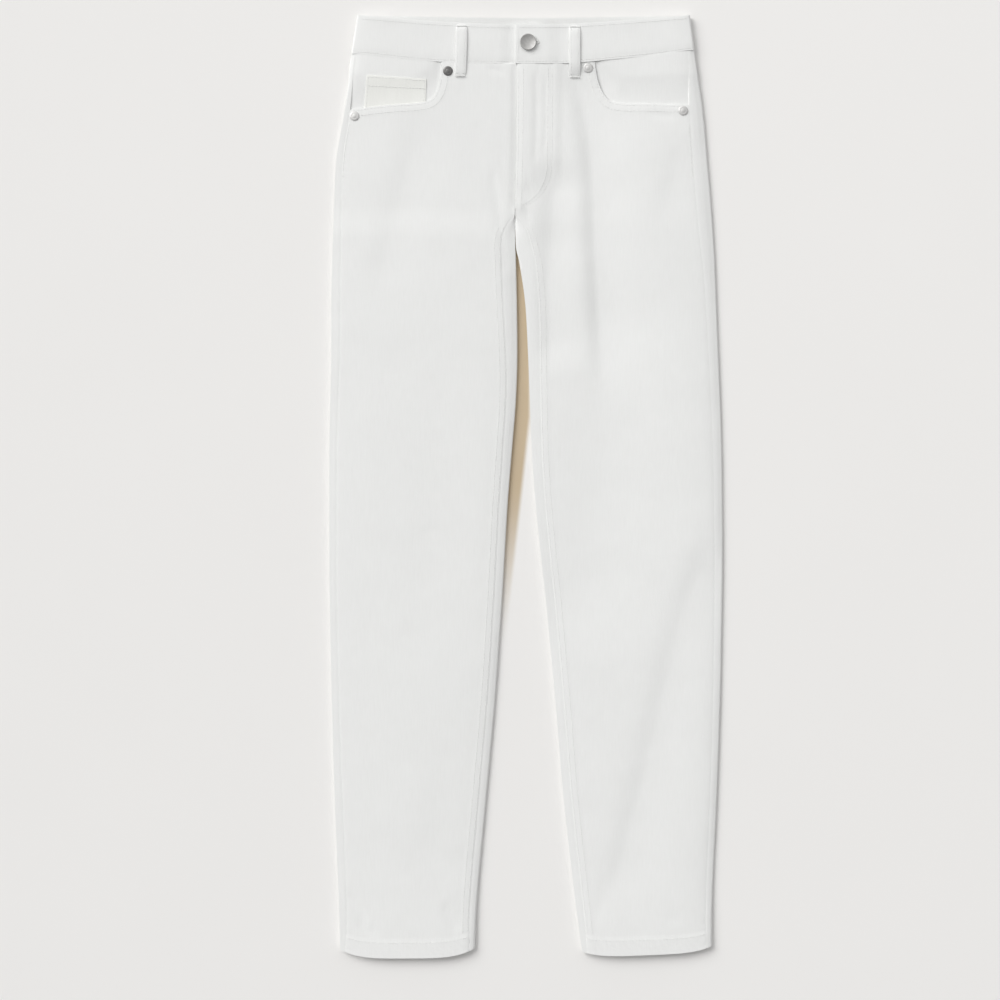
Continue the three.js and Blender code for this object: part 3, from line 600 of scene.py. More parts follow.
def thick_sheet(name, outer, inner, faces, material, rim):
    """A closed cloth wall between matching outer and inner points, with a rounded rim."""
    outer = to_world(outer).reshape(-1, 3)
    inner = to_world(inner).reshape(-1, 3)
    through = unit(outer - inner)
    quads = [f for f in faces if len(f) == 4]
    a, b, c, d = quads[len(quads) // 2]
    if np.cross(outer[c] - outer[a], outer[d] - outer[b]) @ through[a] < 0:
        faces = [f[::-1] for f in faces]
    edges = np.array([(f[k], f[(k + 1) % len(f)]) for f in faces for k in range(len(f))])
    count = len(outer)
    keys = edges.min(1).astype(np.int64) * count + edges.max(1)
    _, first, hits = np.unique(keys, return_index=True, return_counts=True)
    a, b = edges[first[hits == 1]].T
    out = np.zeros_like(outer)
    sideways = unit(np.cross(outer[b] - outer[a], through[a]))
    np.add.at(out, a, sideways)
    np.add.at(out, b, sideways)
    rim_ids = np.unique([a, b])
    place = np.full(count, -1)
    place[rim_ids] = 2 * count + np.arange(len(rim_ids))
    ridge = (outer[rim_ids] + inner[rim_ids]) / 2 + unit(out[rim_ids]) * rim * MM
    upper = np.stack([b, a, place[a], place[b]], -1).tolist()
    lower = np.stack([place[b], place[a], a + count, b + count], -1).tolist()
    under = [[i + count for i in f[::-1]] for f in faces]
    return add_mesh(name, np.concatenate([outer, inner, ridge]), faces + under + upper + lower, material)


def cut_away(x, down, faces, keep):
    """Trims a grid where keep is negative, with new points on the line where it is zero."""
    x, down, keep = list(x.ravel()), list(down.ravel()), keep.ravel()
    made = {}

    def between(a, b):
        key = (min(a, b), max(a, b))
        if key not in made:
            t = keep[a] / (keep[a] - keep[b])
            made[key] = len(x)
            x.append(lerp(x[a], x[b], t))
            down.append(lerp(down[a], down[b], t))
        return made[key]

    kept = []
    inside = keep >= 0
    for face in faces:
        held = [inside[i] for i in face]
        if all(held):
            kept.append(face)
        elif any(held):
            cut = []
            for k, a in enumerate(face):
                b = face[(k + 1) % 4]
                if inside[a]:
                    cut.append(a)
                if inside[a] != inside[b]:
                    cut.append(between(a, b))
            kept.append(cut)
    used = np.unique([i for face in kept for i in face])
    place = {old: new for new, old in enumerate(used.tolist())}
    kept = [[place[i] for i in face] for face in kept]
    return np.array(x)[used], np.array(down)[used], kept


def face_area(points, faces):
    """The area of a piece's outer face in square metres, which is its flat cut."""
    world = to_world(points).reshape(-1, 3)
    area = 0
    for face in faces:
        p = world[face]
        for k in range(1, len(face) - 1):
            area += np.linalg.norm(np.cross(p[k] - p[0], p[k + 1] - p[0])) / 2
    return area


def dress(piece, slot, *nodes):
    """Every piece rides on the one rigid body, and the imported parts it replaces are hidden."""
    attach(piece, "root")
    if nodes:
        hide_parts(*nodes)


# Materials
class Graph:
    """Short calls for a node tree. A value is a number, a colour or another node's output."""

    def __init__(self, tree):
        self.tree = tree

    def fill(self, node, inputs):
        for name, value in inputs.items():
            if isinstance(value, bpy.types.NodeSocket):
                self.tree.links.new(value, node.inputs[name])
            else:
                node.inputs[name].default_value = value

    def add(self, kind, inputs, **settings):
        node = self.tree.nodes.new(f"ShaderNode{kind}")
        for name, value in settings.items():
            setattr(node, name, value)
        self.fill(node, inputs)
        return node

    def place(self, space="Object"):
        return self.add("TexCoord", {}).outputs[space]

    def axes(self, vector):
        return self.add("SeparateXYZ", {0: vector}).outputs

    def math(self, operation, a, b=0.0):
        return self.add("Math", {0: a, 1: b}, operation=operation).outputs[0]

    def sum(self, *terms):
        """The sum of values and of pairs of a value and its weight."""
        total = None
        for term in terms:
            if isinstance(term, tuple):
                term = self.math("MULTIPLY", *term)
            total = self.math("ADD", total, term) if total else term
        return total

    def wave(self, value, pitch):
        return self.math("SINE", self.math("MULTIPLY", value, math.tau / pitch))

    def noise(self, vector, scale, detail):
        """Noise with one scale, or with one for each axis."""
        if isinstance(scale, tuple):
            vector = self.add("Mapping", {"Vector": vector, "Scale": scale}).outputs["Vector"]
            scale = 1.0
        return self.add("TexNoise", {"Vector": vector, "Scale": scale, "Detail": detail}).outputs["Fac"]

    def smooth_step(self, value, low, high):
        inputs = {"Value": value, "From Min": low, "From Max": high}
        return self.add("MapRange", inputs, interpolation_type="SMOOTHSTEP").outputs[0]

    def blend(self, value, *stops):
        """A colour from two pairs of a position and a colour."""
        node = self.add("ValToRGB", {"Fac": value})
        for element, (position, colour) in zip(node.color_ramp.elements, stops):
            element.position = position
            element.color = (*colour, 1)
        return node.outputs["Color"]

    def bump(self, height, strength, distance):
        inputs = {"Height": height, "Strength": strength, "Distance": distance}
        return self.add("Bump", inputs).outputs["Normal"]


def new_material(name):
    material = bpy.data.materials.new(name)
    material.use_nodes = True
    return material, Graph(material.node_tree), material.node_tree.nodes["Principled BSDF"]


def denim(name, light, dark, twill=1.0, roughness=0.92):
    """Cotton twill: diagonal ribs over fine yarns, with slubs and a faint mottle."""
    material, graph, shader = new_material(name)
    vector = graph.place()
    x, y, z = graph.axes(vector)
    rib = graph.wave(graph.sum(x, (y, RIB_SLANT), z), RIB_PITCH)
    yarn = graph.wave(y, YARN_PITCH)
    slub = graph.noise(vector, (900, 70, 900), 3.0)
    weft = graph.noise(vector, (60, 1100, 60), 2.0)
    mottle = graph.noise(vector, 38.0, 4.0)
    weave = graph.sum((rib, 0.5), (yarn, 0.22))
    height = graph.sum(weave, (slub, 1.3), (weft, 0.7))
    tone = graph.sum((slub, 0.5), (mottle, 0.25), (weave, 0.12))
    graph.fill(shader, {
        "Base Color": graph.blend(tone, (0.2, dark), (0.65, light)),
        "Normal": graph.bump(height, 0.5 * twill, 0.1 * MM),
        "Roughness": roughness,
        "Sheen Weight": 0.12,
        "Sheen Roughness": 0.6,
        "Specular IOR Level": 0.25,
    })
    return material


def metal(name, light, dark, roughness):
    """Polished nickel with fine scratches and a little dirt."""
    material, graph, shader = new_material(name)
    vector = graph.place()
    scratches = graph.noise(vector, (400, 5200, 400), 4.0)
    stain = graph.noise(vector, 420.0, 4.0)
    graph.fill(shader, {
        "Base Color": graph.blend(stain, (0.3, dark), (0.7, light)),
        "Normal": graph.bump(scratches, 0.15, 0.05 * MM),
        "Roughness": graph.sum((scratches, 0.16), roughness - 0.08),
        "Metallic": 1.0,
    })
    return material


def plain_floor(name):
    """A pale backdrop, with the warm tan shade that the photograph has between the thighs."""
    material, graph, shader = new_material(name)
    shade = WARM_SHADE
    vector = graph.place()
    x, y, _ = graph.axes(vector)
    pale = graph.blend(graph.noise(vector, 6.0, 3.0), (0, (0.852, 0.842, 0.828)), (1, (0.868, 0.858, 0.844)))
    below = graph.math("MINIMUM", graph.sum(y, -shade["leans_below"]), 0.0)
    from_middle = graph.math("ABSOLUTE", graph.sum(x, -shade["x"], (below, -shade["lean"])))
    across = graph.smooth_step(from_middle, *shade["across"])
    lower = graph.smooth_step(y, *shade["lower"])
    upper = graph.smooth_step(y, *shade["upper"])
    shaded = graph.math("MULTIPLY", across, graph.math("MULTIPLY", lower, upper))
    mix = graph.add("Mix", {"A": pale, "B": shade["colour"], "Factor": shaded}, data_type="RGBA")
    graph.fill(shader, {"Base Color": mix.outputs["Result"], "Roughness": 0.9})
    return material


DENIM = denim("white_denim", (0.867, 0.872, 0.862), (0.822, 0.825, 0.814))
# The coin pocket's cloth has a cream tint and a paler base colour. The paler colour paints light over the
# shade of its sunken, sloping place.
COIN_DENIM_WITH_PAINTED_LIGHT = denim("creamy_denim_painted_lighter", (0.9, 0.905, 0.87), (0.855, 0.858, 0.825))
THREAD_WHITE = denim("white_thread", (0.86, 0.863, 0.85), (0.79, 0.793, 0.78), twill=0.4, roughness=0.7)
TAPE = denim("zip_tape_weave", (0.8, 0.8, 0.78), (0.74, 0.74, 0.72), twill=0.8, roughness=0.85)
NICKEL = metal("polished_nickel", (0.52, 0.515, 0.505), (0.44, 0.435, 0.425), 0.55)
SATIN_NICKEL = metal("satin_nickel", (0.74, 0.735, 0.725), (0.66, 0.655, 0.645), 0.6)
# A darker copy of the nickel whose colour paints a dark reflection, for one rivet.
NICKEL_PAINTED_DARK_REFLECTION = metal("nickel_with_painted_dark_reflection", (0.24, 0.237, 0.233), (0.15, 0.147, 0.143), 0.42)


def cloth_piece(
    cut, node, outer, inner, rests=(), faces=None, material=DENIM, rim=RIM, slot="denim", name="",
):
    """A cloth wall that replaces one node."""
    faces = faces or grid_faces(*outer.shape[:2])
    piece = thick_sheet(f"{name or node}_cloth", outer, inner, faces, material, rim)
    dress(piece, slot, node)
    face_area(outer, faces)


# Front panels. A column's x is its outer edge plus fixed millimetres plus a share of the panel's width.
EDGE_STEPS = np.array([0, 0.5, 1.1, 1.9, 3, 4.6])
MARGIN = 6.6
FRONT_SHARES = np.linspace(0, 1, 84)
FRONT_FIXED = np.concatenate([EDGE_STEPS, MARGIN * (1 - 2 * FRONT_SHARES), -EDGE_STEPS[::-1]])
FRONT_ACROSS = np.concatenate([0 * EDGE_STEPS, FRONT_SHARES, 0 * EDGE_STEPS + 1])
FRONT_ROWS = np.concatenate([
    PANEL_START + np.array([-2.6, -0.7, 0, 0.6, 1.3, 2.2, 3.4, 4.8]),
    np.arange(55, 212, 1.9),
    np.arange(213.5, 905, 2.8),
    np.arange(906, 931, 1.7),
    HEM_BASE + np.array([-1.9, -1.1, -0.5, 0]),
])[:, None]


def front_outer_x(side, down):
    return edge_x(side, "outer", down) - side * (seam_in(side, "outer", down) + SEAM_GAP)


def front_inner_x(side, down):
    lap = FLY_LAP * (1 - ramp(CROTCH - 12, CROTCH - 3, down)) if side < 0 else 0
    gap = SEAM_GAP * ramp(CROTCH - 14, CROTCH - 10, down)
    return edge_x(side, "inner", down) + side * (seam_in(side, "inner", down) + gap) + lap


def front_waist(x):
    return WAIST.front_seam(x) + SEAM_GAP


def fly_mask(down):
    return 1 - ramp(CROTCH - 9, CROTCH + 1, down)


def fly_line(down):
    """Distance of the curved fly stitching from the centre front."""
    bend = FLY_BEND["from"]
    lost = ((down - bend) / FLY_BEND["height"]) ** 2 * (down > bend)
    return (FLY_WIDTH - 2.5) * np.sqrt(np.clip(1 - lost, 0, 1))


def opening_curve(points):
    """A smooth line through a pocket opening's points."""
    points = np.array(points, float)
    path = [points[0]]
    for i in range(len(points) - 1):
        before = points[max(i - 1, 0)]
        a, b = points[i], points[i + 1]
        after = points[min(i + 2, len(points) - 1)]
        for t in (0.2, 0.4, 0.6, 0.8, 1.0):
            curved = (2 * before - 5 * a + 4 * b - after) * t**2 + (3 * a - before - 3 * b + after) * t**3
            path.append(0.5 * (2 * a + (b - before) * t + curved))
    return np.array(path)


CURVES = {side: opening_curve(OPENINGS[name]) for name, side in SIDES.items()}


def outside_opening(side, x, down):
    """Distance from the pocket opening's edge, positive on the front panel, and the place along it."""
    away, along, _, hand = nearest_on(CURVES[side], x, down)
    return away * hand * side, along


def pressing(side, x, down):
    """How much thinner the cloth is pressed along the pocket opening and the fly's lapped edge."""
    away, _ = outside_opening(side, x, down)
    pressed = PRESSED_OPENING["by"] * bell(away, PRESSED_OPENING["reach"]) * (1 - ramp(*OPENING_END, down))
    if side > 0:
        from_edge = x - front_inner_x(side, down)
        pressed = pressed + PRESSED_FLY["by"] * bell(from_edge, PRESSED_FLY["reach"]) * fly_mask(down)
    return pressed


def lapped_z(side, x, down):
    """Height of a front panel's outer face, with its lap at the fly."""
    from_centre = x - edge_x(side, "inner", down)
    if side < 0:
        return top_z(side, x, down) - FLY_STEP * ramp(*UNDERLAP_STEP, from_centre) * fly_mask(down)
    wide = (1 - ramp(*FLY_FADE, from_centre)) * (1 - ramp(*FLY_FADE_DOWN, down))
    narrow = (1 - ramp(*FLY_NARROW, from_centre)) * fly_mask(down)
    return top_z(side, x, down) + FLY_RAISE * np.maximum(wide, narrow)


def front_z(side, x, down):
    """Height of a front panel's outer face, with its lap, seams, hem and turned edges."""
    z = lapped_z(side, x, down)
    from_outer = side * (front_outer_x(side, down) - x)
    from_inner = side * (x - front_inner_x(side, down))
    z = z - SEAM_DIP * (bell(from_outer, SEAM_ROUND) + bell(from_inner, SEAM_ROUND))
    z = z + pucker("outseam", side, down, from_outer)
    leg = ramp(CROTCH, CROTCH + 20, down)
    z = z + pucker("inseam", side, down, from_inner) * leg
    z = z + INSEAM_RAISE * leg * (1 - ramp(*INSEAM_ALLOWANCE, from_inner))
    away, along = outside_opening(side, x, down)
    turned = (1 - ramp(*OPENING_ALLOWANCE, away)) * (1 - ramp(*OPENING_END, down))
    z = z + (OPENING_RAISE + pucker("opening", side, along, away - 6)) * turned
    z = z - pressing(side, x, down)
    waist = down - front_waist(x)
    z = z - WAIST_DIP * bell(waist, 0.8) + pucker("waist", side, x, waist)
    hem = down - HEM_START
    z = z + HEM_RAISE * ramp(-1, 0.5, hem) + pucker("hem", side, x - hem * 0.8, hem - 4) * ramp(-14, -2, hem)
    if side > 0:
        from_centre = x - edge_x(side, "inner", down)
        above = 1 - ramp(CROTCH - 8, CROTCH - 4, down)
        z = z - FLY_LINE_DIP * bell(from_centre - fly_line(down), 1.6) * above
        zip_end = ramp(ZIP["end"] - 8, ZIP["end"] + 6, down)
        z = z + ZIP_RAISE * (1 - ramp(*ZIP_ALLOWANCE, from_centre)) * (1 - zip_end)
    return z


def front_grid(side):
    def x_at(down):
        outer = front_outer_x(side, down)
        width = side * (outer - front_inner_x(side, down))
        return outer - side * (FRONT_FIXED + FRONT_ACROSS * width)

    start = crossing(x_at, front_waist)
    down = FRONT_ROWS + (start - PANEL_START) * (1 - ramp(PANEL_START, PANEL_START + WAIST_FADE, FRONT_ROWS))
    return x_at(down), down


def build_front(name, side):
    x, down = front_grid(side)
    keep, _ = outside_opening(side, x, down)
    keep = np.where(down > OPENING_END[1] + 1, 9.0, keep)
    x, down, faces = cut_away(x, down, grid_faces(*x.shape), keep)
    z = front_z(side, x, down) - ALLOWANCE_DROP * ramp(0, -0.7, down - front_waist(x))
    low = down + hem_shift(side, x, down)
    inner_z = z + pressing(side, x, down) - cloth_at(down)
    rests = (f"back_{name}", f"pocket_facing_{name}")
    cloth_piece("front", f"front_{name}", places(x, low, z), places(x, low, inner_z), rests, faces)


# Back panels and yokes. turn is 2 at the seam on top, 1 where the fold starts, 0 on the underside, -1 a strip
# in along it, and over 2 for the allowance tucked under the front, in centimetres.
OUTER_TURNS = np.array([
    2.3, 2.06, 2, 1.93, 1.84, 1.72, 1.56, 1.38, 1.2, 1, 0.87, 0.75, 0.63, 0.5, 0.38, 0.25, 0.12, 0,
])
ACROSS = np.linspace(0, 1, 42)[1:-1]
INNER_TURNS = np.array([
    -1, -0.5, 0, 0.12, 0.25, 0.38, 0.5, 0.63, 0.75, 0.87, 1, 1.2, 1.4, 1.6, 1.78, 1.9, 2, 2.06, 2.3,
])
OUTER_COUNT = len(OUTER_TURNS)
LOW_END = OUTER_COUNT + len(ACROSS)
COLUMNS = LOW_END + len(INNER_TURNS)
BACK_ROWS = np.concatenate([
    np.arange(BACK_START, 210, 2.3),
    np.arange(211, 270, 2.6),
    np.arange(272, 905, 3.4),
    np.arange(907, 931, 2.2),
    HEM_BASE + np.array([-1.1, -0.5, 0]),
])[:, None]


def edge_point(side, end, turn, down, inset):
    """Place across and height of a back's cloth round its folded edge, inset from its outer face."""
    toward = side if end == "outer" else -side
    edge = edge_x(side, end, down)
    seam = seam_in(side, end, down)
    low = HEIGHT.floor(down)
    top = fold_top(side, end, down)
    half = (top - low) / 2
    facing = lit(side, end, down)
    pressed = ramp(CROTCH - 20, CROTCH, down) * ramp(*PRESSED_UNTIL, down) if end == "inner" else 0
    open_round = lerp(FOLD_ROUND["soft"], FOLD_ROUND["lit"], facing)
    reach = np.minimum(half, 0.6 * seam) * lerp(open_round, FOLD_ROUND["pressed"], pressed)
    in_reach = np.maximum(reach - inset, 0.25 * reach)
    folded = edge - toward * (np.minimum(inset, 0.3 + seam) + in_reach)
    allowance = 10 * np.clip(turn - 2, 0, None)
    x_top = lerp(folded, edge - toward * seam, np.clip(turn - 1, 0, 1)) - toward * allowance
    z_top = top_z(side, x_top, down) - inset - ALLOWANCE_DROP * ramp(0, 0.6, allowance)
    from_seam = (2 - turn) * seam
    z_top = z_top - SEAM_DIP * bell(from_seam, SEAM_ROUND) + pucker("back", side, down, from_seam)
    angle = math.pi * np.clip(turn, 0, 1)
    square = np.maximum(pressed, 0.5 * facing)
    undercut = LIT_UNDERCUT * facing
    x_fold = folded + toward * in_reach * np.sin(angle) ** lerp(1, 0.35, square)
    x_fold = x_fold - toward * undercut * np.clip(1 - turn, 0, 1) ** 1.3
    z_fold = (top + low) / 2 - (half - inset) * np.cos(angle)
    x_low = folded + toward * (STRIP * turn - undercut * np.clip(1 + turn, 0, 1))
    x = np.where(turn > 1, x_top, np.where(turn < 0, x_low, x_fold))
    z = np.where(turn > 1, z_top, np.where(turn < 0, low + inset, z_fold))
    return x, z


def low_x(side, down, across, inset=0.0):
    """x on the underside, at a share of the way from the outer fold to the strip beside the inner one."""
    outer, _ = edge_point(side, "outer", 0.0, down, inset)
    inner, _ = edge_point(side, "inner", -1.0, down, inset)
    return lerp(outer, inner, across)


def pocket_recess(across, row):
    """The underside is raised over the back pocket and falls back to the surface round it."""
    p = BACK_POCKET
    centre = (p["from"] + p["to"]) / 2
    half = (p["to"] - p["from"]) / 2
    end = p["tip"] - (p["tip"] - p["shoulder"]) * np.clip(abs(across - centre) / half, 0, 1)
    gone, full = RECESS_FADE["side"]
    columns = ramp(p["from"] - gone, p["from"] - full, across) * ramp(p["to"] + gone, p["to"] + full, across)
    gone, full = RECESS_FADE["top"]
    rows = ramp(p["top"] - gone, p["top"] - full, row)
    gone, full = RECESS_FADE["end"]
    rows = rows * ramp(end + gone, end + full, row)
    return p["recess"] * columns * rows


def back_section(side, down, row, inset):
    """Points of a back leg or yoke, with one column for each turn and share across."""
    outer_x, outer_z = edge_point(side, "outer", OUTER_TURNS, down[..., :OUTER_COUNT], inset)
    middle = down[..., OUTER_COUNT:LOW_END]
    across_x = low_x(side, middle, ACROSS, inset)
    across_z = HEIGHT.floor(middle) + pocket_recess(ACROSS, row) + inset + 0 * across_x
    reached = GROWTH.turn(down[..., LOW_END:])
    base = np.minimum(INNER_TURNS, 2)
    turn = -1 + (base + 1) * (reached + 1) / 3 + (INNER_TURNS - base) * (reached > 1.99)
    inner_x, inner_z = edge_point(side, "inner", turn, down[..., LOW_END:], inset)
    x = np.concatenate([outer_x, across_x, inner_x], -1)
    return x, np.concatenate([outer_z, across_z, inner_z], -1)


def centre_back(down):
    return (OUTLINE.right_inner(down) + OUTLINE.left_inner(down)) / 2


def yoke_seam(x):
    return YOKE.down(abs(x - centre_back(100)))


def back_waist(x):
    """The backs' upper seam at each of their columns."""
    return yoke_seam(x) + SEAM_GAP


def back_crossing(side, seam_at):
    return crossing(lambda down: back_section(side, down + np.zeros(COLUMNS), 0, 0)[0], seam_at)


def evened(start, row):
    """Rows that begin at start and lie at their own places from BACK_EVEN on."""
    return row + (start - BACK_START) * (1 - np.clip((row - BACK_START) / (BACK_EVEN - BACK_START), 0, 1))


def build_back(name, side):
    down = evened(back_crossing(side, back_waist), BACK_ROWS)
    layers = []
    for inset in (0.0, cloth_at(BACK_ROWS)):
        x, z = back_section(side, down, BACK_ROWS, inset)
        layers.append(places(x, down + hem_shift(side, x, BACK_ROWS), z))
    cloth_piece("back", f"back_{name}", *layers, [f"back_pocket_{name}"])


def build_yoke(name, side):
    on_top = np.arange(COLUMNS) < np.sum(OUTER_TURNS > 1)

    def waist_seam(x):
        return np.where(on_top, WAIST.front_seam(x), WAIST.back_seam(x)) + SEAM_GAP

    start = back_crossing(side, waist_seam)
    end = back_crossing(side, yoke_seam)
    share = np.concatenate([[0, 0.012, 0.03], np.linspace(0.06, 0.96, 26), [0.975, 0.99, 1]])[:, None]
    down = lerp(start, end, share)
    layers = []
    for inset in (0.0, CLOTH):
        x, z = back_section(side, down, 0, inset)
        layers.append(places(x, down, z))
    cloth_piece("yoke", f"yoke_{name}", *layers, [f"pocket_facing_{name}"])


# Pocket pieces
def facing_z(side, x, down):
    """Height of a pocket facing, sunk below the opening's edge and rising again inside it."""
    inside = -outside_opening(side, x, down)[0]
    from_outer = side * (front_outer_x(side, down) - x)
    from_waist = down - WAIST.front_seam(x)
    depth = lerp(FACING_DEPTH["edge"], FACING_DEPTH[NAMES[side]], ramp(*FACING_SIDE, from_outer))
    full = lerp(FACING_RISE_AT_WAIST, FACING_RISE[1], ramp(0, 30, from_waist))
    shallow = lerp(FACING_SHALLOW["share"], 1, ramp(0, FACING_SHALLOW["until"], from_waist))
    depth = depth * lerp(1, shallow, ramp(0, 8, inside))
    if side > 0:
        deeper = OPENING_DEEPER
        near = ramp(deeper["gone"], deeper["full"], x) * ramp(0, deeper["from_waist"], from_waist)
        depth = depth + deeper["by"] * near
    z = top_z(side, x, down) - depth * (1 - ramp(FACING_RISE[0], full, inside))
    return z - SEAM_DIP * bell(from_outer, SEAM_ROUND)


def facing_point(side, share, row, lift):
    """A place on a pocket facing, at shares of its width and height."""
    def x_at(down):
        return lerp(front_outer_x(side, down), FACING_INNER[NAMES[side]], share)

    start = crossing(x_at, front_waist)
    down = lerp(start, FACING_END, row)
    x = x_at(down)
    z = facing_z(side, x, down) - ALLOWANCE_DROP * ramp(0, -0.6, row * (FACING_END - start))
    return places(x, down, z + lift)


def build_facing(name, side):
    share = np.linspace(0, 1, 48)[None, :]
    row = np.concatenate([[-0.05, -0.012], np.linspace(0, 1, 30)])[:, None]
    layers = [facing_point(side, share, row, lift) for lift in (0, -CLOTH)]
    cloth_piece("facing", f"pocket_facing_{name}", *layers, [f"yoke_{name}", f"back_{name}"])


def build_coin_pocket():
    share = np.linspace(*COIN_SHARES, 34)[None, :]
    row = np.linspace(*COIN_ROWS, 22)[:, None]
    in_side = np.minimum(share - COIN_SHARES[0], COIN_SHARES[1] - share) * COIN_ACROSS
    from_top = (row - COIN_ROWS[0]) * COIN_DOWN
    hem = 0.12 * (1 - ramp(8, 10.5, from_top)) - 0.15 * bell(from_top, 0.8)
    wave = 0.18 * value_noise(share * COIN_ACROSS, row * COIN_DOWN, 11, 91) - 0.2 * bell(in_side, 0.9)
    lift = LAYER_GAP + COIN_CLOTH + hem + wave * ramp(0, 2, in_side + 0 * row) * 0.7
    layers = [facing_point(-1, share, row, z) for z in (lift, LAYER_GAP)]
    # The coin pocket takes the creamy denim that paints light over its shade.
    cloth_piece("coin_pocket", "coin_pocket", *layers, ["pocket_facing_right"], material=COIN_DENIM_WITH_PAINTED_LIGHT)


def pocket_point(side, share, row):
    """A place on a back pocket, from its panel's own columns."""
    across = lerp(BACK_POCKET["from"], BACK_POCKET["to"], share)
    start = crossing(lambda down: low_x(side, down + 0 * across, across), back_waist)
    end = lerp(BACK_POCKET["shoulder"], BACK_POCKET["tip"], 1 - abs(2 * share - 1))
    down = evened(start, lerp(BACK_POCKET["top"], end, row))
    return low_x(side, down, across), down


def build_back_pocket(name, side):
    share = np.linspace(0, 1, 45)[None, :]
    row = np.linspace(0, 1, 45)[:, None]
    x, down = pocket_point(side, share, row)
    edge = np.minimum(np.minimum(share, 1 - share) * POCKET_WIDTH, np.minimum(row, 1 - row) * 120)
    soft = 0.25 * bell(edge, 1.2)
    layers = [places(x, down, z) for z in (0.12 + soft, CLOTH + 0.05 - soft * 0.4)]
    cloth_piece("back_pocket", f"back_pocket_{name}", *layers)


# Waistband
def at_seam(x):
    """A place along the waist's upper edge, moved to its share of the width at the lower seam."""
    share = (x - OUTLINE.right_outer(0)) / (OUTLINE.left_outer(0) - OUTLINE.right_outer(0))
    return lerp(OUTLINE.right_outer(BAND_HEIGHT), OUTLINE.left_outer(BAND_HEIGHT), share)


def band_z(side, x):
    """Height of the band's outer face, with its overlap at the centre front."""
    rise = 1 - np.exp(-np.maximum(0, side * (edge_x(side, "outer", 0) - x) - 2.5) / SHOULDER)
    z = lerp(BAND_EDGE, BAND_TOP, rise)
    if side > 0:
        return z + OVERLAP_RAISE * (1 - ramp(*OVERLAP_FADE, x))
    return z - UNDERLAP_DIP * ramp(*UNDERLAP_FADE, x)


def band_relief(x, v):
    """Turned top edge, sewn lower edge and soft waves of the band's outer face. v runs down its height."""
    down = v * BAND_HEIGHT
    z = undulation(BAND_WAVES, x, down, 80)
    z = z - 0.12 * bell(down, 0.5) - BAND_SEAM_DROP * bell(BAND_HEIGHT - down, 4)
    z = z + 0.14 * (1 - ramp(3, 5, down))
    return z + pucker("band_top", 0, x, down - 4.5) + pucker("band_seam", 0, x, BAND_HEIGHT - 3 - down)


def band_fold(side, turn, v, inset):
    """The band folded round at the side: turn is 1 on top and 0 underneath."""
    corner = edge_x(side, "outer", 0)
    down = lerp(WAIST.front_top(corner), WAIST.front_seam(corner), v)
    low = HEIGHT.floor(down)
    half = (BAND_EDGE - low) / 2
    angle = math.pi * turn
    relief = band_relief(corner + 0 * v, v) * np.clip(turn, 0, 1)
    x = edge_x(side, "outer", down) - side * half + side * (half - inset + relief * 0.5) * np.sin(angle)
    return places(x, down, (BAND_EDGE + low) / 2 - (half - inset + relief) * np.cos(angle))


def band_top(side, x, v, inset=0.0):
    down = lerp(WAIST.front_top(x), WAIST.front_seam(at_seam(x)), v)
    return places(lerp(x, at_seam(x), v), down, band_z(side, x) - inset + band_relief(x, v))


def band_under(x, v, inset=0.0):
    """The band's back, whose upper edge curls up a little between the sides."""
    down = lerp(WAIST.back_top(x), WAIST.back_seam(at_seam(x)), v)
    from_side = np.minimum(x - OUTLINE.right_outer(0), OUTLINE.left_outer(0) - x)
    curl = BACK_CURL * bell(v * BAND_HEIGHT, 7) * ramp(5, 60, from_side)
    return places(lerp(x, at_seam(x), v), down, HEIGHT.floor(down) + inset + curl)


def build_waistband():
    v = np.concatenate([[0, 0.015, 0.035, 0.06], np.linspace(0.1, 0.9, 13), [0.94, 0.965, 0.985, 1]])[:, None]
    left_top = np.concatenate([OVERLAP_END + np.array([0, 0.5, 1.2, 2.2]), np.linspace(-6, 158, 70)])
    right_top = np.concatenate([np.linspace(-163, 12, 72), UNDERLAP_END - np.array([1.2, 0.5, 0])])
    under = np.linspace(159, -164, 90)
    turns = np.linspace(0, 1, 13)
    layers = []
    for inset in (0.0, BAND_CLOTH):
        layers.append(np.concatenate([
            band_top(1, left_top, v, inset),
            band_fold(1, 1 - turns, v, inset),
            band_under(under, v, inset),
            band_fold(-1, turns, v, inset),
            band_top(-1, right_top, v, inset),
        ], 1))
    cloth_piece("waistband", "waistband", *layers, ["yoke_right", "yoke_left"])


# Belt loops
def loop_surface(x, lean, across, along):
    """A place under a front loop, and the height there that the loop's cloth starts from."""
    side = -1 if x < 0 else 1
    down = WAIST.front_top(x) + 1 + along
    place = x + across + lean * (along / LOOP_LENGTH) ** 2
    on_panel = ramp(WAIST.front_seam(x) + 1, WAIST.front_seam(x) + 13, down)
    base = lerp(band_z(side, x), top_z(side, place, down), on_panel)
    return place, down, base + LOOP_SEAT + LOOP_LIFT(along)


def loop_crown(across):
    """A loop's face: two sewn channels with a plump middle and rounded sides."""
    from_middle = abs(across)
    channel = LOOP_RELIEF["channel"] * bell(from_middle - LOOP_CHANNEL, 0.55)
    side = LOOP_RELIEF["side"] * bell(LOOP_WIDTH / 2 - from_middle, 1.2)
    return LOOP_CLOTH + LOOP_RELIEF["plump"] - channel - side


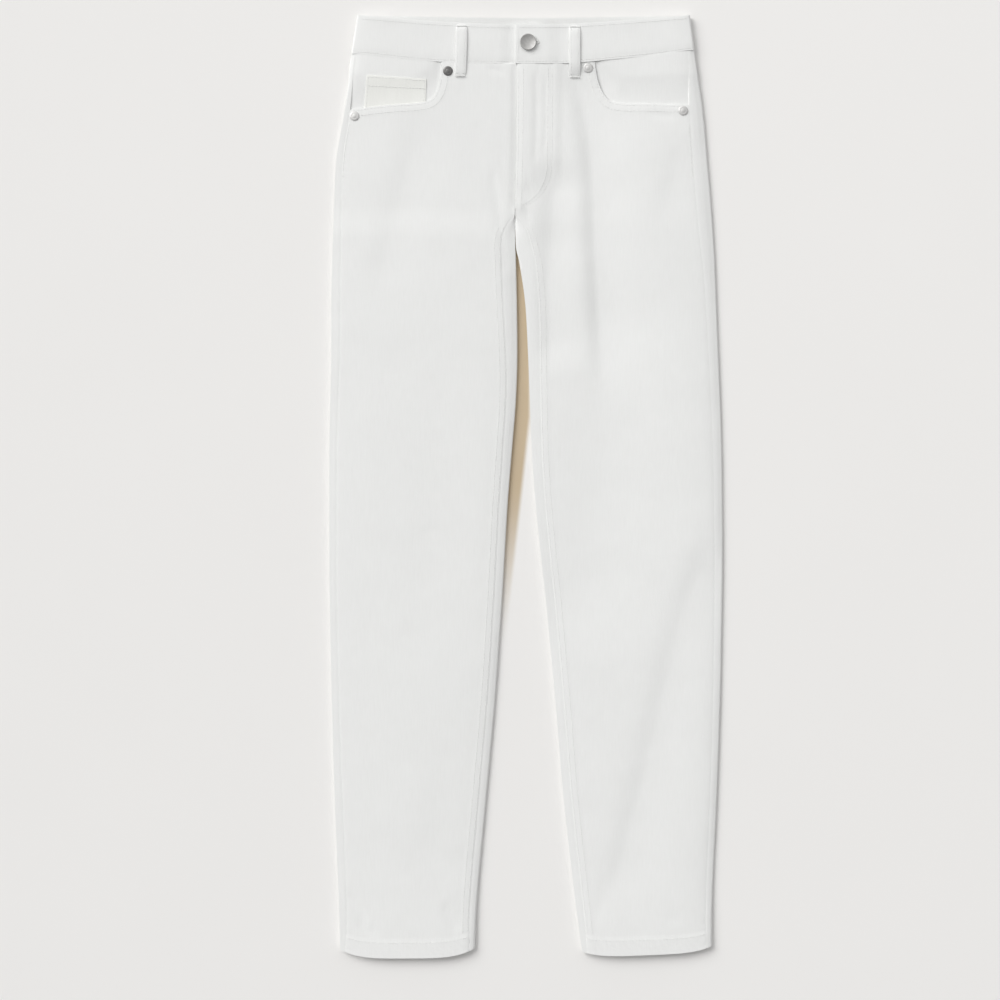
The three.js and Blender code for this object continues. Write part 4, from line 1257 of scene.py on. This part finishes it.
def build_front_loop(name, x, lean):
    across = np.concatenate([[-5.5, -5.2, -4.7], np.linspace(-4, 4, 15), [4.7, 5.2, 5.5]])[None, :]
    along = np.concatenate([[0, 0.3, 0.9, 1.8], np.linspace(3, 52, 38), [53.2, 54.1, 54.7, 55]])[:, None]
    place, down, base = loop_surface(x, lean, across, along)
    ends = np.minimum(along, LOOP_LENGTH - along)
    tacked = 0.09 * (1 - ramp(3, 5, ends))
    crown = loop_crown(across) - LOOP_END_DROP * bell(ends, 4) - tacked
    ripple = 0.08 * value_noise(place, down, 4, 95)
    sunk = np.maximum(0.55 * bell(LOOP_WIDTH / 2 - abs(across), 1.6), 0.5 * bell(ends, 1.6))
    layers = [places(place, down, z) for z in (base + crown + ripple, base - sunk)]
    cloth_piece("front_loop", name, *layers, ["waistband"], rim=0.25)


def back_loop_place(x, across, share):
    return x + across, lerp(WAIST.back_top(x) + 1, WAIST.back_seam(x) + 10, share)


def build_back_loop(name, x):
    across = np.concatenate([[-5.5, -5, -4.4], np.linspace(-3.6, 3.6, 11), [4.4, 5, 5.5]])[None, :]
    share = np.concatenate([[0, 0.01, 0.03], np.linspace(0.06, 0.94, 24), [0.97, 0.99, 1]])[:, None]
    place, down = back_loop_place(x, across, share)
    ends = np.minimum(share, 1 - share) * 48
    face_z = np.minimum(0.2 + LOOP_CLOTH - loop_crown(across) + 0.4 * bell(ends, 0.8), 0.7)
    layers = [places(place, down, z) for z in (face_z, BACK_LOOP_CLOTH)]
    cloth_piece("back_loop", name, *layers, rim=0.2)


# Sewing: rows of stitches as one mesh for each piece. Each stitch is a short thread that dips at its ends.
# A ring is its share along the stitch, and its size and height in threads.
STITCH_RINGS = [
    (-0.5, 0.45, -0.9), (-0.4, 0.95, 0.05), (0.0, 1.0, 0.45), (0.4, 0.95, 0.05), (0.5, 0.45, -0.9),
]
STITCH_SIDES = 6


def stitch_template():
    points = []
    for along, radius, lift in STITCH_RINGS:
        for k in range(STITCH_SIDES):
            angle = math.tau * k / STITCH_SIDES
            points.append((along, radius * math.cos(angle), radius * math.sin(angle) + lift))
    last = (len(STITCH_RINGS) - 1) * STITCH_SIDES
    faces = []
    for ring in range(0, last, STITCH_SIDES):
        for k in range(STITCH_SIDES):
            a, b = ring + k, ring + (k + 1) % STITCH_SIDES
            faces.append((a, b, b + STITCH_SIDES, a + STITCH_SIDES))
    faces.append(tuple(range(STITCH_SIDES))[::-1])
    faces.append(tuple(range(last, last + STITCH_SIDES)))
    return np.array(points), faces


TEMPLATE, TEMPLATE_FACES = stitch_template()


def resample(points, pitch):
    """Evenly spaced places along a line, with the direction at each."""
    steps = np.linalg.norm(np.diff(points, axis=0), axis=1)
    reach = np.concatenate([[0], np.cumsum(steps)])
    count = max(1, int(reach[-1] / pitch))
    middles = (np.arange(count) + 0.5) * reach[-1] / count

    def at(distance):
        return np.stack([np.interp(distance, reach, points[:, k]) for k in range(3)], -1)

    return at(middles), unit(at(middles + 0.3) - at(middles - 0.3))


def sew(name, rows, length=STITCH_LENGTH, pitch=STITCH_PITCH, thread=THREAD):
    """rows holds (points, up): a row's places in millimetres and 1 on top or -1 underneath."""
    clouds = []
    for points, up in rows:
        centres, ahead = resample(to_world(points) / MM, pitch)
        normal = np.zeros_like(ahead)
        normal[:, 2] = up
        normal = unit(normal - ahead * np.sum(normal * ahead, -1, keepdims=True))
        axes = np.stack([ahead, np.cross(normal, ahead), normal], 1)
        clouds.append(centres[:, None] + (TEMPLATE * [length, thread, thread]) @ axes)
    cloud = np.concatenate(clouds)
    starts = range(0, len(cloud) * len(TEMPLATE), len(TEMPLATE))
    faces = [[i + start for i in f] for start in starts for f in TEMPLATE_FACES]
    dress(add_mesh(name, cloud.reshape(-1, 3) * MM, faces, THREAD_WHITE, sharp=80), "denim")


def top_row(side, x, down):
    """A row of stitches on a front panel."""
    return places(x, down + hem_shift(side, x, down), front_z(side, x, down)), 1


def under_row(x, down, z=UNDER_STITCH):
    return places(x, down, z), -1


def sew_front(name, side):
    inseam = np.arange(CROTCH + 14, HEM_START - 2, TRACE_STEP)
    rows = [top_row(side, front_inner_x(side, inseam) + side * inset, inseam) for inset in INSEAM_ROWS]
    curve = CURVES[side]
    ahead = np.gradient(curve, axis=0)
    out = np.stack([ahead[:, 1], -ahead[:, 0]], -1) / np.hypot(*ahead.T)[:, None]
    out = out * np.sign(outside_opening(side, *(curve[20] + out[20]))[0])
    for inset in OPENING_ROWS:
        x, down = (curve + out * inset).T
        on = (down > WAIST.front_seam(x) + 2) & (side * (front_outer_x(side, down) - x) > 1.5)
        rows.append(top_row(side, x[on], down[on]))
    x = np.linspace(front_outer_x(side, HEM_ROW) - side, front_inner_x(side, HEM_ROW) + side, 60)
    rows.append(top_row(side, x, HEM_ROW + 0 * x))
    outseam = np.arange(FACING_END + 6, FACING_END + 62, TRACE_STEP)
    rows.append(top_row(side, front_outer_x(side, outseam) - side * 1.5, outseam))
    if side > 0:
        for inward in (0, 4.5):
            down = np.concatenate([np.arange(FLY_SEWN_FROM, 150, TRACE_STEP), np.linspace(151, 190, 26)])
            x = edge_x(1, "inner", down) + np.maximum(fly_line(down) - inward, 3)
            rows.append(top_row(1, x, down))
        down = np.arange(FLY_SEWN_FROM, CROTCH - 2, TRACE_STEP)
        for inset in FLY_ROWS:
            rows.append(top_row(1, edge_x(1, "inner", down) + inset, down))
    sew(f"sewing_front_{name}", rows)


def sew_band():
    rows = []
    for v in BAND_ROWS:
        rows.append((band_top(1, np.linspace(OVERLAP_END + 2, 160, 90), v), 1))
        rows.append((band_top(-1, np.linspace(-164, OVERLAP_END - 3, 80), v), 1))
        rows.append((band_under(np.linspace(158, -163, 120), v) + [0, 0, 0.1], -1))
    v = np.linspace(*BAND_ROWS, 14)
    rows.append((band_top(1, OVERLAP_END + 2 + 0 * v, v), 1))
    sew("sewing_waistband", rows)


def sew_loops():
    rows = []
    along = np.linspace(4, 51, 30)
    for x, lean in FRONT_LOOPS.values():
        for across in (-LOOP_CHANNEL, LOOP_CHANNEL):
            place, down, base = loop_surface(x, lean, across, along)
            rows.append((places(place, down, base + loop_crown(across) + 0.02), 1))
    share = np.linspace(0.08, 0.92, 24)
    for x in BACK_LOOPS.values():
        for across in (-LOOP_CHANNEL, LOOP_CHANNEL):
            rows.append(under_row(*back_loop_place(x, across, share)))
    sew("sewing_belt_loops", rows)


def bar_tack(centre_x, centre_down, z, up=1):
    """A dense zigzag across a belt loop's end."""
    width = LOOP_WIDTH - 1.5
    rows = []
    for k, x in enumerate(np.linspace(-width / 2, width / 2, int(width / 0.42))):
        tilt = 0.25 if k % 2 else -0.25
        ends = np.array([-1, 1])
        rows.append((places(centre_x + x + tilt * ends, centre_down + 0.9 * ends, z), up))
    return rows


def sew_tacks():
    rows = []
    for x, lean in FRONT_LOOPS.values():
        for along in (LOOP_TACK, LOOP_LENGTH - LOOP_TACK):
            place, down, base = loop_surface(x, lean, 0.0, along)
            rows += bar_tack(place, down, base + LOOP_CLOTH - 0.12)
    for x in BACK_LOOPS.values():
        for share in (0.05, 0.95):
            rows += bar_tack(*back_loop_place(x, 0.0, share), UNDER_STITCH, -1)
    sew("bar_tacks", rows, length=1.8, pitch=2.5)


def sew_coin_pocket():
    rows = []
    share = np.linspace(COIN_SHARES[0] + 0.01, COIN_SHARES[1] - 0.01, 40)
    for offset in (0.03, 0.17):
        rows.append((facing_point(-1, share, COIN_ROWS[0] + offset, LAYER_GAP + COIN_CLOTH + 0.12), 1))
    row = np.linspace(COIN_ROWS[0] + 0.02, COIN_ROWS[1] - 0.05, 20)
    for side_share in (COIN_SHARES[0] + 0.018, COIN_SHARES[1] - 0.018):
        rows.append((facing_point(-1, side_share + 0 * row, row, LAYER_GAP + COIN_CLOTH), 1))
    sew("sewing_coin_pocket", rows)


def sew_back(name, side):
    """Rows along the yoke seam, round and across the back pocket, along the hem and up the centre back."""
    rows = []
    under = slice(12, LOW_END + 2)
    for inset in DOUBLE_ROWS:
        down = back_crossing(side, yoke_seam) - inset
        x, z = back_section(side, down, 0, 0.0)
        rows.append(under_row(x[under], down[under], z[under] + 0.05))
    for inset in DOUBLE_ROWS:
        in_share = inset / POCKET_WIDTH
        lowest = 1 - inset / POCKET_HEIGHT
        row = np.linspace(0.02, lowest, 40)
        for share in (in_share, 1 - in_share):
            rows.append(under_row(*pocket_point(side, share + 0 * row, row)))
        share = np.linspace(in_share, 1 - in_share, 50)
        rows.append(under_row(*pocket_point(side, share, lowest + 0 * share)))
    share = np.linspace(0.02, 0.98, 45)
    for row in (0.02, 0.13):
        rows.append(under_row(*pocket_point(side, share, row + 0 * share)))
    x = np.linspace(edge_x(side, "outer", HEM_ROW) - side * 4, edge_x(side, "inner", HEM_ROW) + side * 4, 60)
    rows.append(under_row(x, HEM_ROW + hem_shift(side, x, HEM_ROW)))
    if side > 0:
        down = np.arange(126, CROTCH - 8, TRACE_STEP)
        for inset in DOUBLE_ROWS:
            rows.append(under_row(edge_x(1, "inner", down) + inset, down))
    sew(f"sewing_back_{name}", rows)


def build_buttonhole():
    """A worked buttonhole: stitches standing round a slot that the button's shank passes through."""
    rows = []

    def add_stitch(x, down, near):
        v = (down - WAIST.front_top(near)) / BAND_HEIGHT
        rows.append((band_top(1, x, v) + [0, 0, 0.05], 1))

    for x in np.arange(BUTTONHOLE_START, BUTTONHOLE_END, BUTTONHOLE_PITCH):
        for hand in (-1, 1):
            add_stitch(x + np.zeros(2), BUTTON["down"] + hand * np.array([0.35, BUTTONHOLE_REACH]), x)
    reach = np.array([0.4, BUTTONHOLE_REACH])
    for angle in np.linspace(-1.3, 1.3, 8):
        x = BUTTONHOLE_END + reach * math.cos(angle)
        add_stitch(x, BUTTON["down"] + reach * math.sin(angle), BUTTONHOLE_END)
    sew("buttonhole", rows, length=1.9, pitch=2.5, thread=0.3)


# Metal
def turned(name, profile, segments, material):
    """A solid of revolution about its own +Z, from [radius, z] points that start and end on the axis."""
    inner = profile[1:-1]
    angles = np.linspace(0, math.tau, segments, endpoint=False)
    points = [(0, 0, profile[0][1])]
    for radius, z in inner:
        points += [(radius * math.cos(a), radius * math.sin(a), z) for a in angles]
    points.append((0, 0, profile[-1][1]))
    top = len(points) - 1
    last = top - segments
    faces = []
    for k in range(segments):
        after = (k + 1) % segments
        faces.append((0, 1 + after, 1 + k))
        for ring in range(1, last, segments):
            faces.append((ring + k, ring + after, ring + after + segments, ring + k + segments))
        faces.append((last + k, last + after, top))
    return add_mesh(name, np.array(points) * MM, faces, material, sharp=35)


def rounded_profile(points, steps=4):
    """Softens the corners of a turned profile."""
    points = np.array(points, float)
    path = [points[0]]
    for before, here, after in zip(points[:-2], points[1:-1], points[2:]):
        reach = 0.35 * min(np.linalg.norm(here - before), np.linalg.norm(after - here))
        a = here - unit(here - before) * reach
        b = here + unit(after - here) * reach
        for t in np.linspace(0, 1, steps):
            path.append((1 - t) ** 2 * a + 2 * t * (1 - t) * here + t**2 * b)
    path.append(points[-1])
    return path


def set_on(piece, z_at, x, down, radius):
    """Turns a metal piece's mesh to lie along the cloth below it and moves it there."""
    reach = radius * 0.9
    slope_x = (z_at(x + reach, down) - z_at(x - reach, down)) / (2 * reach)
    slope_y = (z_at(x, down - reach) - z_at(x, down + reach)) / (2 * reach)
    normal = unit(np.array([-slope_x, -slope_y, 1.0]))
    sideways = unit(np.cross([0, 1, 0], normal))
    ahead = np.cross(normal, sideways)
    ring = [(0, 0), (1, 0), (-1, 0), (0, 1), (0, -1), (0.7, 0.7), (-0.7, 0.7), (0.7, -0.7), (-0.7, -0.7)]
    proud = max(z_at(x + a * reach, down - b * reach) - (slope_x * a + slope_y * b) * reach for a, b in ring)
    centre = to_world([x, down, proud + 0.1])
    for vertex in piece.data.vertices:
        a, b, c = vertex.co
        vertex.co = centre + a * sideways + b * ahead + c * normal
    piece.data.update()


def build_rivet(name, x, down):
    profile = rounded_profile([(share * RIVET_RADIUS, z) for share, z in RIVET_SECTION])
    # That one rivet takes the nickel with a painted dark reflection.
    piece = turned(f"{name}_metal", profile, 48, NICKEL_PAINTED_DARK_REFLECTION if name == RIVET_WITH_PAINTED_REFLECTION else SATIN_NICKEL)
    side = -1 if x < 0 else 1
    set_on(piece, lambda a, b: float(lapped_z(side, a, b)), x, down, RIVET_RADIUS)
    dress(piece, "metal", name)


def build_button():
    r, rim, top = BUTTON["radius"], BUTTON["rim"], BUTTON["top"]
    profile = [
        (0, 0), (4.3, 0), (4.5, 0.7), (0.9 * r, 0.85), (0.98 * r, 1.3), (r, 1.9), (0.99 * r, top - 0.2),
        (0.96 * r, top),
    ]
    for share in np.linspace(rim, 0, 14):
        profile.append((share * r, top - BUTTON["bowl"] * (1 - (share / rim) ** 2)))
    piece = turned("button_metal", rounded_profile(profile), 72, NICKEL)
    set_on(piece, lambda a, b: float(band_z(1, a)), BUTTON["x"], BUTTON["down"], BUTTON["shank"])
    dress(piece, "metal", "button")


def build_zip():
    """The closed zip hidden behind the fly: woven tape and a row of meshed teeth."""
    down = np.linspace(ZIP["start"], ZIP["end"], 60)[:, None]
    centre = centre_back(down)
    x = centre + np.linspace(ZIP["from"], ZIP["to"], 24)[None, :]
    z = np.where(x < centre, top_z(-1, x, down), top_z(1, x, down)) - ZIP["below"] - 0.15
    outer = places(x, down, z)
    inner = outer - [0, 0, ZIP["tape"]]
    cloth_piece("zip_tape", "fly_zip", outer, inner, ["yoke_right", "yoke_left"],
                material=TAPE, rim=0.1, slot="zip_tape", name="zip_tape")
    points, faces = [], []
    cube = np.array([(a, b, c) for a in (-1, 1) for b in (-1, 1) for c in (-1, 1)], float)
    sides = [(0, 1, 3, 2), (4, 6, 7, 5), (0, 4, 5, 1), (2, 3, 7, 6), (0, 2, 6, 4), (1, 5, 7, 3)]
    tooth = cube * ZIP_TEETH["half_size"] * MM
    middle = lerp(ZIP["from"], ZIP["to"], ZIP_TEETH["share"])
    for k, down in enumerate(np.arange(ZIP["start"] + 2, ZIP["end"] - 1, ZIP_TEETH["pitch"])):
        x = float(centre_back(down)) + middle + ZIP_TEETH["apart"] * (1 if k % 2 else -1)
        z = float(top_z(1, x, down)) - ZIP["below"] - ZIP_TEETH["lower"]
        faces += [tuple(len(points) + i for i in f) for f in sides]
        points += list(to_world([x, down, z]) + tooth)
    dress(add_mesh("zip_teeth", np.array(points), faces, NICKEL, sharp=30), "metal")


def build_garment():
    for name, side in SIDES.items():
        build_front(name, side)
        build_back(name, side)
        build_yoke(name, side)
        build_facing(name, side)
        build_back_pocket(name, side)
        sew_front(name, side)
        sew_back(name, side)
    build_coin_pocket()
    build_waistband()
    for name, (x, lean) in FRONT_LOOPS.items():
        build_front_loop(name, x, lean)
    for name, x in BACK_LOOPS.items():
        build_back_loop(name, x)
    sew_band()
    sew_loops()
    sew_tacks()
    sew_coin_pocket()
    build_buttonhole()
    build_button()
    for name, (x, down) in RIVETS.items():
        build_rivet(name, x, down)
    build_zip()


# Studio
def build_floor():
    corners = [(x * FLOOR_REACH, y * FLOOR_REACH, FLOOR_Z) for x, y in ((-1, -1), (1, -1), (1, 1), (-1, 1))]
    mesh = bpy.data.meshes.new("floor")
    mesh.from_pydata(corners, [], [(0, 1, 2, 3)])
    mesh.materials.append(plain_floor("pale_floor"))
    floor = add_object("floor", mesh)


def add_light(name, kind, settings):
    light = bpy.data.lights.new(name, kind)
    light.energy = settings["energy"]
    light.color = settings.get("colour", (1, 1, 1))
    lamp = add_object(name, light)
    lamp.location = settings["from"]
    away = np.array(settings["from"]) - np.array(settings.get("toward", (0, 0, 0)))
    tilt = math.acos(away[2] / np.linalg.norm(away))
    lamp.rotation_euler = (tilt, 0, math.atan2(away[1], away[0]) + math.pi / 2)
    return light


def build_camera():
    camera = bpy.data.cameras.new("camera")
    camera.lens = LENS
    camera.sensor_width = SENSOR
    seen = add_object("camera", camera)
    seen.location = (*VIEW_CENTRE, VIEW_PLANE + VIEW_WIDTH * LENS / SENSOR)
    bpy.context.scene.camera = seen


def build_surroundings():
    """Soft white surroundings, brighter behind the waist than below the hems."""
    world = bpy.data.worlds.new("studio")
    world.use_nodes = True
    graph = Graph(world.node_tree)
    _, y, _ = graph.axes(graph.place("Generated"))
    background = world.node_tree.nodes["Background"]
    strength = graph.sum((y, SURROUNDINGS["behind"]), SURROUNDINGS["level"])
    graph.fill(background, {"Color": (1.0, 1.0, 1.0, 1), "Strength": strength})
    bpy.context.scene.world = world


def build_studio():
    build_floor()
    build_surroundings()
    key = add_light("key", "SUN", KEY)
    key.angle = math.radians(KEY["degrees"])
    fill = add_light("fill", "AREA", FILL)
    fill.size = FILL["size"]
    bpy.context.scene.view_settings.view_transform = "Standard"


build_camera()
build_studio()
build_garment()
